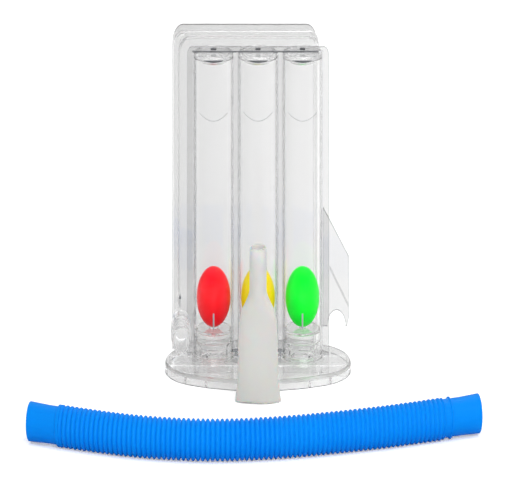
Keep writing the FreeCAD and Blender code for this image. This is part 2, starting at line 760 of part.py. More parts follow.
def oval(owner, height, width, thick):
    """Draws an ellipse from its two diameters at a height; the first has to be the larger."""
    sketch = sketch_on(owner, "XY_Plane", height)
    wide = 0.5 * float(sketch.evalExpression(width))
    deep = 0.5 * float(sketch.evalExpression(thick))
    curve = Part.Ellipse(FreeCAD.Vector(wide, 0, 0), FreeCAD.Vector(0, deep, 0), FreeCAD.Vector(0, 0, 0))
    sketch.addGeometry(curve, False)
    sketch.exposeInternalGeometry(0)
    pin(sketch, 0, 3, ("0", "0"))
    sketch.addConstraint(Sketcher.Constraint("Horizontal", 1))
    for diameter, across, expression in ((1, 2 * wide, width), (2, 2 * deep, thick)):
        index = sketch.addConstraint(Sketcher.Constraint("Distance", diameter, across))
        sketch.setExpression(f"Constraints[{index}]", expression)
    return sketch


def between(first, second, share):
    """Gives the expression for a value part of the way from one to another."""
    return f"({1 - share:.2f} * ({first}) + {share:.2f} * ({second}))"


def oval_stem(label, sections, radius, top):
    """Lofts ellipses, each a (height, width, thickness) of expressions, and runs a round neck to the top."""
    owner = body(label)
    profiles = [oval(owner, *section) for section in sections]
    lofted = owner.newObject("PartDesign::AdditiveLoft", "lofted")
    lofted.Profile = profiles[0]
    lofted.Sections = profiles[1:]
    doc.recompute()
    neck = sketch_on(owner, "XY_Plane", "sizes.neck_height")
    circle(neck, "0", "0", radius)
    pad(owner, neck, f"{top} - sizes.neck_height")
    owner.setExpression("Placement.Base.y", "-sizes.mouth_forward")
    return owner


def mouthpiece():
    """Makes the mouthpiece: a round neck that widens and flattens into the oval mouth end it stands on."""
    mouth = ("sizes.mouth_width", "sizes.mouth_thick")
    waist = ("sizes.waist_width", "sizes.waist_thick")
    shoulder = ("sizes.shoulder_width", "sizes.waist_thick")
    neck = ("(sizes.neck_outer + 2 * sizes.neck_step)", "(sizes.neck_outer + sizes.neck_step)")
    middle = "(0.5 * sizes.shoulder_height)"
    parts = (
        ("0", middle, mouth, waist, MOUTH_TO_WAIST),
        (middle, "sizes.shoulder_height", waist, shoulder, WAIST_TO_SHOULDER),
        ("sizes.shoulder_height", "sizes.neck_height", shoulder, neck, SHOULDER_TO_NECK),
    )
    sections = [("0", *mouth)]
    for low, high, first, last, shape in parts:
        for up, across in shape:
            width = between(first[0], last[0], across)
            sections.append((between(low, high, up), width, between(first[1], last[1], across)))
        sections.append((high, *last))
    wall = "2 * sizes.mouth_wall"
    hollow = [(height, f"{width} - {wall}", f"{deep} - {wall}") for height, width, deep in sections]
    radius = "0.5 * sizes.neck_outer"
    outer = oval_stem("mouth_outer", sections, radius, "sizes.mouth_height")
    bore = f"{radius} - sizes.mouth_wall"
    inner = oval_stem("mouth_inner", hollow, bore, "(sizes.mouth_height + sizes.cut_past)")
    keep(cut("mouth", outer, [inner]), "mouthpiece")


def hose_axis():
    """Gives the hose's centre line as straight runs joined by tangent arcs, and prints each arc's radius."""
    height = 0.5 * size("hose_outer")
    points = [FreeCAD.Vector(across, forward, height) for across, forward in HOSE_ROUTE]
    edges = []
    last = points[0]
    for before, corner, after in zip(points, points[1:], points[2:]):
        way_in = (corner - before).normalize()
        way_out = (after - corner).normalize()
        turn = way_in.getAngle(way_out)
        reach = 0.45 * min((corner - before).Length, (after - corner).Length)
        print(f"hose bend radius {reach / math.tan(turn / 2):.0f} mm")
        start = corner - way_in * reach
        end = corner + way_out * reach
        inward = (way_out - way_in).normalize()
        sagitta = reach * math.tan(turn / 4)
        crown = (start + end) * 0.5 + inward * (-sagitta)
        edges.append(Part.LineSegment(last, start).toShape())
        edges.append(Part.Arc(start, crown, end).toShape())
        last = end
    edges.append(Part.LineSegment(last, points[-1]).toShape())
    return Part.Wire(edges)


def hose():
    """Makes the hose's tube and its two plain cuffs with their rings."""
    path = hose_axis()
    first = path.Edges[0]
    last = path.Edges[-1]
    start = first.Vertexes[0].Point
    heading = (first.Vertexes[1].Point - start).normalize()
    rounds = []
    for radius in (0.5 * size("hose_outer"), 0.5 * size("hose_bore")):
        rim = Part.Wire([Part.Circle(start, heading, radius).toShape()])
        rounds.append(path.makePipeShell([rim], True, True))
    tube = doc.addObject("Part::Feature", "tube")
    tube.Shape = rounds[0].cut(rounds[1])
    area = math.pi / 4 * (size("hose_outer") ** 2 - size("hose_bore") ** 2)
    print(f"hose length {path.Length:.1f} mm, volume over section times length",
          f"{tube.Shape.Volume / (area * path.Length):.5f}")
    keep(tube, "hose_tube")
    end = last.Vertexes[-1].Point
    cuffs = (
        ("left", start, heading * -1.0),
        ("right", end, (end - last.Vertexes[0].Point).normalize()),
    )
    for side, root, outward in cuffs:
        owner = body(f"cuff_{side}")
        bore = "0.5 * sizes.cuff_bore"
        outer = "0.5 * sizes.cuff_outer"
        ring = "0.5 * sizes.cuff_ring_outer"
        revolve(owner, [
            (bore, "0"), (ring, "0"), (ring, "sizes.cuff_ring"), (outer, "sizes.cuff_ring"),
            (outer, f"sizes.cuff_{side}"), (bore, f"sizes.cuff_{side}"),
        ])
        owner.Placement = FreeCAD.Placement(root, FreeCAD.Rotation(FreeCAD.Vector(0, 0, 1), outward))
        keep(owner, f"hose_cuff_{side}")


def finish():
    """Checks every object and writes one file for each sub-part."""
    doc.recompute()
    for obj in doc.Objects:
        if "Invalid" in obj.State or "Error" in obj.State:
            raise RuntimeError(f"{obj.Name} of {[up.Label for up in obj.InList]} did not build: {obj.State}")
    os.makedirs("parts", exist_ok=True)
    for obj in kept:
        shape = obj.Shape
        if shape.isNull() or not shape.isValid() or not shape.Solids:
            raise RuntimeError(f"{obj.Label} is not a valid solid")
        box = shape.BoundBox
        print(f"{obj.Label}: {len(shape.Solids)} solid, {shape.Volume:.0f} mm3,",
              f"x {box.XMin:.1f} to {box.XMax:.1f}, y {box.YMin:.1f} to {box.YMax:.1f},",
              f"z {box.ZMin:.1f} to {box.ZMax:.1f}")
        shape.exportStep(f"parts/{obj.Label}.step")


base_tray()
for name in COLUMNS:
    column(name)
    seat(name)
    cap(name)
for name, colour in (("left", "red"), ("middle", "yellow"), ("right", "green")):
    ball(name, colour)
front_panel()
plenum_shell()
rear_cover()
hose_port()
holder_fin()
mouthpiece()
hose()
finish()
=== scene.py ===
"""Looks of a three-ball incentive spirometer: clear columns on a tray, mouthpiece and corrugated hose.

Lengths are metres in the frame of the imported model: +Z is up, -Y faces the user and the origin lies on
the floor under the middle column. Sizes in the classes are millimetres, and MM turns them to metres.
"""

import logging
import math
from dataclasses import dataclass
from enum import Enum
from typing import Sequence

import bmesh
import bpy
from mathutils import Matrix, Vector


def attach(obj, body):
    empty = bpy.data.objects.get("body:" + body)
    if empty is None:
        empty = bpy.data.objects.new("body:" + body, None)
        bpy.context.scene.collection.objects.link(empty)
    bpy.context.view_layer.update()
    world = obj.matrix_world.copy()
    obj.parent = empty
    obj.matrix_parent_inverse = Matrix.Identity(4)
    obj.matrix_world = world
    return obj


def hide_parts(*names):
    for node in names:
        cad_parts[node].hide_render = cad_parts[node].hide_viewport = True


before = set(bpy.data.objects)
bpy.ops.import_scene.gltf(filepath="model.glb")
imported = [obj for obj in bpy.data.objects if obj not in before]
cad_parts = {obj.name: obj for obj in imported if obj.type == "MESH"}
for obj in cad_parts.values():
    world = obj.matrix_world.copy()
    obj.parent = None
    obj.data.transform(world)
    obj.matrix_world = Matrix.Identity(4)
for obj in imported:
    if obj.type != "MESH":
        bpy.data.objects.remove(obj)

MM = 0.001
log = logging.getLogger("spirometer")

Point = tuple[float, float]
Mesh = bpy.types.Mesh
Tree = bpy.types.NodeTree
Socket = bpy.types.NodeSocket
Finishes = dict[str, bpy.types.Material]

# Millimetres: from one column's axis to the next, up to the tray's deck, and a hair's breadth
PITCH = 34.0
DECK = 4.6
HAIR = 0.001

# The colour inputs and output of a Mix node that is set to colours
MIX_FIRST, MIX_SECOND, MIX_COLOUR = 6, 7, 2
# Shares of lean below which a face lies square to a direction and above which it faces it
SQUARE, FLAT = 0.02, 0.98
# How much more a large face counts than a small one when normals are evened out
FLAT_FACE_WEIGHT = 80
# What a second mesh does to the first one
JOIN, CUT, TRIM = "UNION", "DIFFERENCE", "INTERSECT"


class Body(str, Enum):
    """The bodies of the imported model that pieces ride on."""

    STAND = "stand"
    RED = "red"
    YELLOW = "yellow"
    GREEN = "green"
    MOUTH = "mouth"
    HOSE = "hose"


class Slot(str, Enum):
    """The record's material slots."""

    CLEAR = "clear_styrene"
    RED = "red_ball"
    YELLOW = "yellow_ball"
    GREEN = "green_ball"
    MILKY = "milky_polythene"
    BLUE = "blue_hose"


class Side(Enum):
    """The three columns, each with its place in the row as a multiple of PITCH."""

    LEFT = -1
    MIDDLE = 0
    RIGHT = 1

    @property
    def word(self) -> str:
        """Gives the word that the nodes of this column end in."""
        return self.name.lower()

    @property
    def place(self) -> Matrix:
        """Gives the move from the row's middle to this column."""
        return at(self.value * PITCH, 0, 0)


def linear(colour: str) -> tuple[float, float, float, float]:
    """Turns an sRGB hex colour into linear light.

    Args:
        colour: Six hex digits, such as "F0F0F0".

    Returns:
        Red, green, blue and an alpha of 1.
    """
    shares = [int(colour[start:start + 2], 16) / 255 for start in (0, 2, 4)]
    red, green, blue = (
        share / 12.92 if share <= 0.04045 else ((share + 0.055) / 1.055) ** 2.4 for share in shares
    )
    return red, green, blue, 1.0


def add_node(tree: Tree, kind: str, values: dict | None = None, links: dict | None = None,
             **settings: object) -> bpy.types.Node:
    """Adds a node to a tree with its settings, input values and links.

    Args:
        tree: The node tree that takes the node.
        kind: The node's type after its first words, such as "Math" for ShaderNodeMath.
        values: Input names or numbers with the values that they hold.
        links: Input names or numbers with the output sockets that feed them.
        **settings: Attributes of the node itself.

    Returns:
        The new node.
    """
    node = tree.nodes.new(f"ShaderNode{kind}")
    for name, value in settings.items():
        setattr(node, name, value)
    for name, value in (values or {}).items():
        node.inputs[name].default_value = value
    for name, socket in (links or {}).items():
        tree.links.new(socket, node.inputs[name])
    return node


def noise(tree: Tree, size_mm: float, detail: float = 2.0) -> Socket:
    """Gives noise over a piece, with features about this many millimetres wide."""
    values = {"Scale": 1 / (size_mm * MM), "Detail": detail}
    place = add_node(tree, "TexCoord").outputs["Object"]
    return add_node(tree, "TexNoise", values, {"Vector": place}).outputs["Fac"]


def bump(tree: Tree, height: Socket, depth_mm: float, strength: float) -> Socket:
    """Gives normals that a height pattern tilts, as deep as this many millimetres."""
    values = {"Strength": strength, "Distance": depth_mm * MM}
    return add_node(tree, "Bump", values, {"Height": height}).outputs["Normal"]


def along(tree: Tree, axis: str, space: str = "Object") -> Socket:
    """Gives how far each point lies along an axis."""
    place = add_node(tree, "TexCoord").outputs[space]
    return add_node(tree, "SeparateXYZ", links={0: place}).outputs[axis]


def ramp(tree: Tree, value: Socket, start: float, end: float, low: float = 0.0, high: float = 1.0,
         kind: str = "LINEAR") -> Socket:
    """Gives a number that goes from low to high while a value goes from start to end."""
    values = {"From Min": start, "From Max": end, "To Min": low, "To Max": high}
    return add_node(tree, "MapRange", values, {"Value": value}, interpolation_type=kind).outputs["Result"]


def blend(tree: Tree, first: str, second: str, share: Socket) -> Socket:
    """Gives a blend of two sRGB colours by a share of the second."""
    values = {MIX_FIRST: linear(first), MIX_SECOND: linear(second)}
    return add_node(tree, "Mix", values, {0: share}, data_type="RGBA").outputs[MIX_COLOUR]


def by_ray(tree: Tree, ray: str, others: Socket, shader: Socket) -> Socket:
    """Gives a shader for one kind of ray, such as "Is Shadow Ray", and another for all others."""
    path = add_node(tree, "LightPath").outputs[ray]
    return add_node(tree, "MixShader", links={0: path, 1: others, 2: shader}).outputs["Shader"]


def new_material(name: str) -> tuple[bpy.types.Material, Tree]:
    """Makes an empty node material.

    Args:
        name: The material's name.

    Returns:
        The material and its node tree.
    """
    material = bpy.data.materials.new(name)
    material.use_nodes = True
    material.node_tree.nodes.clear()
    return material, material.node_tree


@dataclass(frozen=True)
class ClearStyrene:
    """Injection-moulded crystal polystyrene: water-clear, glossy, and greyed by painted shade where it is
    seen edge-on.
    """

    name: str
    # Share of the mirror gloss that is seen face-on; thin even walls show little of it
    glare: float
    # Tint of a wall seen square on
    face: str
    # Moulded walls sink and swell by thousandths of a millimetre over some centimetres
    wave_mm: float
    wave_depth_mm: float
    # Tint of a wall seen edge-on, partly painted shade for the dark outlines of clear walls, and the leans
    # between which it sets in, where 1 is edge-on
    edge: str = "85888D"
    edge_from: float = 0.82
    edge_to: float = 1.0
    roughness: float = 0.012
    ior: float = 1.59

    def build(self) -> bpy.types.Material:
        """Builds the material.

        Returns:
            A glass-like material that lets light from the lamps through to what is inside.
        """
        material, tree = new_material(self.name)
        # Light that enters at a glancing angle crosses more plastic, and painted shade deepens the tint
        # further towards an outline
        slant = add_node(tree, "LayerWeight", {"Blend": 0.5}).outputs["Facing"]
        share = ramp(tree, slant, self.edge_from, self.edge_to, kind="SMOOTHSTEP")
        plastic = add_node(
            tree, "BsdfPrincipled",
            {
                "Roughness": self.roughness, "IOR": self.ior, "Transmission Weight": 1.0,
                "Specular Tint": (self.glare, self.glare, self.glare, 1.0),
            },
            {
                "Base Color": blend(tree, self.face, self.edge, share),
                "Normal": bump(tree, noise(tree, self.wave_mm, 1.0), self.wave_depth_mm, 1.0),
            },
        )
        clear = add_node(tree, "BsdfTransparent", {"Color": linear("FFFFFF")})
        both = by_ray(tree, "Is Shadow Ray", plastic.outputs["BSDF"], clear.outputs["BSDF"])
        add_node(tree, "OutputMaterial", links={"Surface": both})
        return material


@dataclass(frozen=True)
class Moulded:
    """A solid-coloured moulded or extruded plastic with a faintly uneven colour and a fine skin."""

    name: str
    colour: str
    # The tone that the colour drifts to, in clouds about this wide
    second: str
    cloud_mm: float = 2.0
    roughness: float = 0.5
    ior: float = 1.59
    # The fine unevenness of the skin
    grain_mm: float = 0.4
    grain_depth_mm: float = 0.01
    # Share of light that wanders inside, and how deep
    softness: float = 0.0
    depth_mm: float = 1.0
    clear: float = 0.0
    sheen_level: float = 0.5
    # Share of light given off in the plastic's own colour, partly a fluorescent pigment's glow and partly
    # painted light that lifts its shaded side
    glow: float = 0.0
    # Heights in millimetres between which the plastic thins out, and how clear and pale it gets there
    thin_from: float = 0.0
    thin_to: float = 0.0
    thin_clear: float = 0.0
    thin_colour: str = "FCFBF8"

    def build(self) -> bpy.types.Material:
        """Builds the material.

        Returns:
            A Principled material whose colour drifts between two tones, with a grainy bump.
        """
        material, tree = new_material(self.name)
        colour = blend(tree, self.colour, self.second, noise(tree, self.cloud_mm))
        grain = noise(tree, self.grain_mm, 3.0)
        plastic = add_node(
            tree, "BsdfPrincipled",
            {
                "IOR": self.ior, "Subsurface Weight": self.softness, "Subsurface Scale": self.depth_mm * MM,
                "Transmission Weight": self.clear, "Specular IOR Level": self.sheen_level,
                "Emission Strength": self.glow,
            },
            {
                "Base Color": colour, "Emission Color": colour,
                "Roughness": ramp(tree, grain, 0.0, 1.0, self.roughness - 0.05, self.roughness + 0.05),
                "Normal": bump(tree, grain, self.grain_depth_mm, 0.6),
            },
        )
        if self.thin_clear:
            thinning = ramp(
                tree, along(tree, "Z"), self.thin_from * MM, self.thin_to * MM, kind="SMOOTHSTEP",
            )
            values = {1: self.thin_clear, 2: self.clear}
            clearing = add_node(tree, "Math", values, {0: thinning}, operation="MULTIPLY_ADD")
            pale = blend(tree, self.colour, self.thin_colour, thinning)
            tree.links.new(colour, pale.node.inputs[MIX_FIRST])
            tree.links.new(clearing.outputs[0], plastic.inputs["Transmission Weight"])
            tree.links.new(pale, plastic.inputs["Base Color"])
        add_node(tree, "OutputMaterial", links={"Surface": plastic.outputs["BSDF"]})
        return material


CLEAR_FINISHES = {
    # The columns, the clearest walls, darkened by painted shade where their edges turn away
    "tube": ClearStyrene(
        "crystal_polystyrene_tube", glare=0.12, face="F9F9F9", edge="5E6166", edge_from=0.6, edge_to=0.96,
        wave_mm=40.0, wave_depth_mm=0.004,
    ),
    # The seats, whose level faces are seen at a glancing angle and stay light
    "seat": ClearStyrene(
        "crystal_polystyrene_seat", glare=0.25, face="FFFFFF", edge="E4E5E6", edge_from=0.9,
        wave_mm=12.0, wave_depth_mm=0.004,
    ),
    # The flange and the fin, flat plates that look light grey
    "plate": ClearStyrene(
        "crystal_polystyrene_plate", glare=0.3, face="E7E7E7", wave_mm=50.0, wave_depth_mm=0.005,
    ),
    # Their rounded rims pipe the light away; their tint is darkened as painted shade, so they show as fine
    # grey lines
    "rim": ClearStyrene(
        "crystal_polystyrene_rim", glare=1.0, face="C8C9CB", edge="9EA0A4",
        wave_mm=50.0, wave_depth_mm=0.002,
    ),
    # The tray's rounded top edge, buffed satin by handling, which blurs what it refracts
    "satin": ClearStyrene(
        "crystal_polystyrene_satin", glare=1.0, face="F4F4F4", edge="C8CACC", edge_from=0.8, roughness=0.35,
        wave_mm=20.0, wave_depth_mm=0.01,
    ),
    # The two deep halves of the air box and the port, whose larger walls look greyer
    "casing": ClearStyrene(
        "crystal_polystyrene_box", glare=0.5, face="F0F0F0", edge="C2C4C6",
        wave_mm=45.0, wave_depth_mm=0.01,
    ),
    # The tray and the plugs, thicker mouldings that mirror more
    "tray": ClearStyrene(
        "crystal_polystyrene_tray", glare=1.0, face="F8F8F8", edge="C0C2C5", edge_from=0.9,
        wave_mm=20.0, wave_depth_mm=0.01,
    ),
}
# Two tones of each ball's polypropylene: strong colour, satin gloss, thin, so that light glows inside, plus a
# painted glow that evens out its shade
BALL_TONES = {"red": ("FF0A1C", "FA1624"), "yellow": ("F4E000", "ECD400"), "green": ("00FF2A", "00F838")}
MOULDED_FINISHES = {
    # Polystyrene whitened where a mark is moulded rough: it scatters light and looks grey
    "mark": Moulded("etched_polystyrene", "B9BCC1", "C6C8CC", clear=0.35),
    # Painted shade on lips, stubs, welds, the arrow and the tray's foot, which lie edge-on to the light and
    # look nearly black through clear walls
    "shade": Moulded("shaded_polystyrene", "4C4E52", "5A5C60", clear=0.1),
    # Low-density polythene, moulded: milky white, waxy, soft to light, clearer in the thin neck
    "milky": Moulded(
        "polythene_milky", "DCD9D3", "D5D2CC", cloud_mm=14.0, roughness=0.42, ior=1.51,
        grain_mm=0.9, grain_depth_mm=0.012, softness=0.5, depth_mm=3.0, clear=0.08, sheen_level=0.3,
        thin_from=44.0, thin_to=60.0, thin_clear=0.5,
    ),
    # Polythene hose, extruded and corrugated: bright blue, satin
    "blue": Moulded(
        "polythene_blue", "008AEA", "007EE4", cloud_mm=60.0, roughness=0.45, ior=1.51,
        grain_mm=0.6, grain_depth_mm=0.012, softness=0.05, sheen_level=0.05,
    ),
    **{
        colour: Moulded(
            f"polypropylene_{colour}", *tones, cloud_mm=9.0, roughness=0.4, ior=1.49,
            grain_mm=0.7, softness=0.6, depth_mm=6.0, sheen_level=0.15, glow=0.17,
        )
        for colour, tones in BALL_TONES.items()
    },
}


def skin_of(loops: Sequence[Sequence[Vector]], ring: bool = False, cap: bool = False) -> Mesh:
    """Joins closed loops of equal length, one after another, into a surface.

    Args:
        loops: The loops, in metres.
        ring: True if the last loop joins the first, as round a tube's wall.
        cap: True if the first and last loops are filled.

    Returns:
        A mesh whose normals face outwards.
    """
    made = bmesh.new()
    rows = [[made.verts.new(point) for point in loop] for loop in loops]
    pairs = list(zip(rows, rows[1:]))
    if ring:
        pairs.append((rows[-1], rows[0]))
    count = len(rows[0])
    for first, second in pairs:
        for step in range(count):
            after = (step + 1) % count
            made.faces.new((first[step], first[after], second[after], second[step]))
    if cap:
        made.faces.new(rows[0])
        made.faces.new(rows[-1])
    return closed(made)


def closed(made: bmesh.types.BMesh) -> Mesh:
    """Merges touching points and turns the normals outwards.

    Args:
        made: The shape, which is freed.

    Returns:
        The shape as a mesh.
    """
    bmesh.ops.remove_doubles(made, verts=made.verts, dist=0.0005 * MM)
    bmesh.ops.recalc_face_normals(made, faces=made.faces)
    mesh = bpy.data.meshes.new("shape")
    made.to_mesh(mesh)
    made.free()
    return mesh


def arc(centre: Point, radius: float, start: float, end: float, steps: int) -> list[Point]:
    """Gives points along an arc, both ends included.

    Args:
        centre: The arc's centre.
        radius: Its radius.
        start: The angle it starts at, in degrees.
        end: The angle it ends at, in degrees.
        steps: How many chords it has.

    Returns:
        The points, in the order they are passed.
    """
    angles = [math.radians(start + (end - start) * step / steps) for step in range(steps + 1)]
    return [(centre[0] + radius * math.cos(turn), centre[1] + radius * math.sin(turn)) for turn in angles]


def rounded(corners: Sequence[tuple[float, float, float]], steps: int) -> list[Point]:
    """Rounds the corners of a closed outline.

    Args:
        corners: Each corner as x, y and its radius; a radius of 0 keeps it sharp.
        steps: How many chords each rounding has.

    Returns:
        The outline's points.
    """
    points: list[Point] = []
    for before, (x, y, radius), after in zip([corners[-1], *corners], corners, [*corners[1:], corners[0]]):
        corner = Vector((x, y))
        way_in = (Vector(before[:2]) - corner).normalized()
        way_out = (Vector(after[:2]) - corner).normalized()
        half = math.acos(max(-1.0, min(1.0, way_in.dot(way_out)))) / 2
        if radius <= 0 or half > math.radians(89):
            points.append((x, y))
            continue
        reach = radius / math.tan(half)
        middle = corner + (way_in + way_out).normalized() * (radius / math.sin(half))
        start, end = corner + way_in * reach - middle, corner + way_out * reach - middle
        turn = start.angle_signed(end)
        for step in range(steps + 1):
            spoke = start.copy()
            spoke.rotate(Matrix.Rotation(-turn * step / steps, 2))
            points.append((middle.x + spoke.x, middle.y + spoke.y))
    return points


def turned(profile: Sequence[Point], segments: int = 128, ring: bool = True) -> Mesh:
    """Turns a profile of (radius, height) in millimetres about the Z axis.

    Args:
        profile: The outline of the wall's section.
        segments: How many steps the turn has.
        ring: True if the outline is closed; otherwise its ends are capped.

    Returns:
        The turned mesh.
    """
    turns = [2 * math.pi * step / segments for step in range(segments)]
    loops = [
        [Vector((radius * math.cos(turn), radius * math.sin(turn), height)) * MM for turn in turns]
        for radius, height in profile
    ]
    return skin_of(loops, ring=ring, cap=not ring)


def rod(radius: float, low: float, high: float, segments: int = 128) -> Mesh:
    """Makes an upright rod between two heights, for cutting round holes."""
    return turned([(HAIR, low), (radius, low), (radius, high), (HAIR, high)], segments)


def bead(stations: Sequence[tuple[Vector, float, float]], sides: int) -> Mesh:
    """Makes a thin bead that runs round the outside of a column.

    Args:
        stations: Points along it, each with the bead's half depth and half height there.
        sides: How many sides its section has.

    Returns:
        The bead's mesh.
    """
    turns = [2 * math.pi * part / sides for part in range(sides)]
    loops = []
    for centre, half_depth, half_height in stations:
        spoke = Vector((centre.x, centre.y, 0)).normalized() * half_depth
        up = Vector((0, 0, half_height))
        loops.append([(centre + spoke * math.cos(turn) + up * math.sin(turn)) * MM for turn in turns])
    return skin_of(loops, cap=True)


def plate(outline: Sequence[Point], front: float, back: float, edge: float = 0.0) -> Mesh:
    """Makes an upright plate from an outline seen from the front.

    Args:
        outline: Points of (x, z) in millimetres.
        front: The Y of its front face, in millimetres.
        back: The Y of its back face.
        edge: The radius that its rims are rounded by.

    Returns:
        The plate's mesh.
    """
    made = bmesh.new()
    face = made.faces.new([made.verts.new(Vector((x, front, z)) * MM) for x, z in outline])
    pushed = bmesh.ops.extrude_face_region(made, geom=[face])["geom"]
    moved = [item for item in pushed if isinstance(item, bmesh.types.BMVert)]
    bmesh.ops.translate(made, verts=moved, vec=Vector((0, back - front, 0)) * MM)
    bmesh.ops.recalc_face_normals(made, faces=made.faces)
    if edge > 0:
        rims = [
            line for line in made.edges
            if abs(line.verts[0].co.y - line.verts[1].co.y) < 0.001 * MM and len(line.link_faces) == 2
        ]
        bmesh.ops.bevel(
            made, geom=rims, offset=edge * MM, segments=3, profile=0.5, affect="EDGES", clamp_overlap=True,
        )
    return closed(made)


def box(left: float, right: float, front: float, back: float, low: float, high: float,
        edge: float = 0.0) -> Mesh:
    """Makes a box from six places in millimetres, with edges rounded by a radius."""
    corners = [(left, low, edge), (right, low, edge), (right, high, edge), (left, high, edge)]
    return plate(rounded(corners, 3) if edge > 0 else [corner[:2] for corner in corners], front, back, edge)


def placed(mesh: Mesh, *moves: Matrix) -> Mesh:
    """Moves a mesh's points by the matrices, the first one first."""
    for move in moves:
        mesh.transform(move)
    return mesh


def at(x: float, y: float, z: float) -> Matrix:
    """Gives the matrix that moves a mesh by millimetres."""
    return Matrix.Translation(Vector((x, y, z)) * MM)


def carved(base: Mesh, *steps: tuple[str, Mesh]) -> Mesh:
    """Joins meshes to a base or cuts them out of it.

    Args:
        base: The mesh that is worked on.
        *steps: Pairs of JOIN, CUT or TRIM and the mesh for it, in order.

    Returns:
        The finished mesh.
    """
    holder = bpy.data.objects.new("holder", base)
    bpy.context.scene.collection.objects.link(holder)
    tools = []
    for operation, mesh in steps:
        tool = bpy.data.objects.new("tool", mesh)
        bpy.context.scene.collection.objects.link(tool)
        tools.append(tool)
        modifier = holder.modifiers.new("cut", "BOOLEAN")
        modifier.operation, modifier.object, modifier.solver = operation, tool, "EXACT"
    graph = bpy.context.evaluated_depsgraph_get()
    mesh = bpy.data.meshes.new_from_object(holder.evaluated_get(graph))
    for item in [holder, *tools]:
        bpy.data.objects.remove(item)
    return mesh


@dataclass
class Part:
    """A part of the object, which builds and dresses its own pieces with the object's finishes."""

    finishes: Finishes

    def dress(self, name: str, mesh: Mesh, finish: str, *nodes: str, body: Body = Body.STAND,
              slot: Slot = Slot.CLEAR, crease: float = 32.0) -> bpy.types.Object:
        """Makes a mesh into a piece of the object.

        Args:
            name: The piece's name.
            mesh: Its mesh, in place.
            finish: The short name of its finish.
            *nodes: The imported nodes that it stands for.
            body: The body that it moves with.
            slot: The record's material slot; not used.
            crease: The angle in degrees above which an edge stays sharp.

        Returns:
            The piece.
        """
        piece = bpy.data.objects.new(name, mesh)
        mesh.name = name
        bpy.context.scene.collection.objects.link(piece)
        mesh.materials.clear()
        mesh.materials.append(self.finishes[finish])
        mesh.polygons.foreach_set("use_smooth", [True] * len(mesh.polygons))
        mesh.set_sharp_from_angle(angle=math.radians(crease))
        evened = piece.modifiers.new("flat_faces_stay_flat", "WEIGHTED_NORMAL")
        evened.keep_sharp = True
        evened.weight = FLAT_FACE_WEIGHT
        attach(piece, body.value)
        if nodes:
            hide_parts(*nodes)
        log.info("%s: %d faces, stands for %s", name, len(mesh.polygons), ", ".join(nodes) or "no node")
        return piece

    def dress_rims(self, piece: bpy.types.Object, finish: str, flat: Vector) -> None:
        """Gives the faces of a piece that don't lie square to a direction a finish of their own.

        Args:
            piece: The piece, which has its main finish already.
            finish: The short name of the rims' finish.
            flat: The direction that the main faces look along.
        """
        piece.data.materials.append(self.finishes[finish])
        for face in piece.data.polygons:
            if SQUARE < abs(face.normal.dot(flat)) < FLAT:
                face.material_index = 1


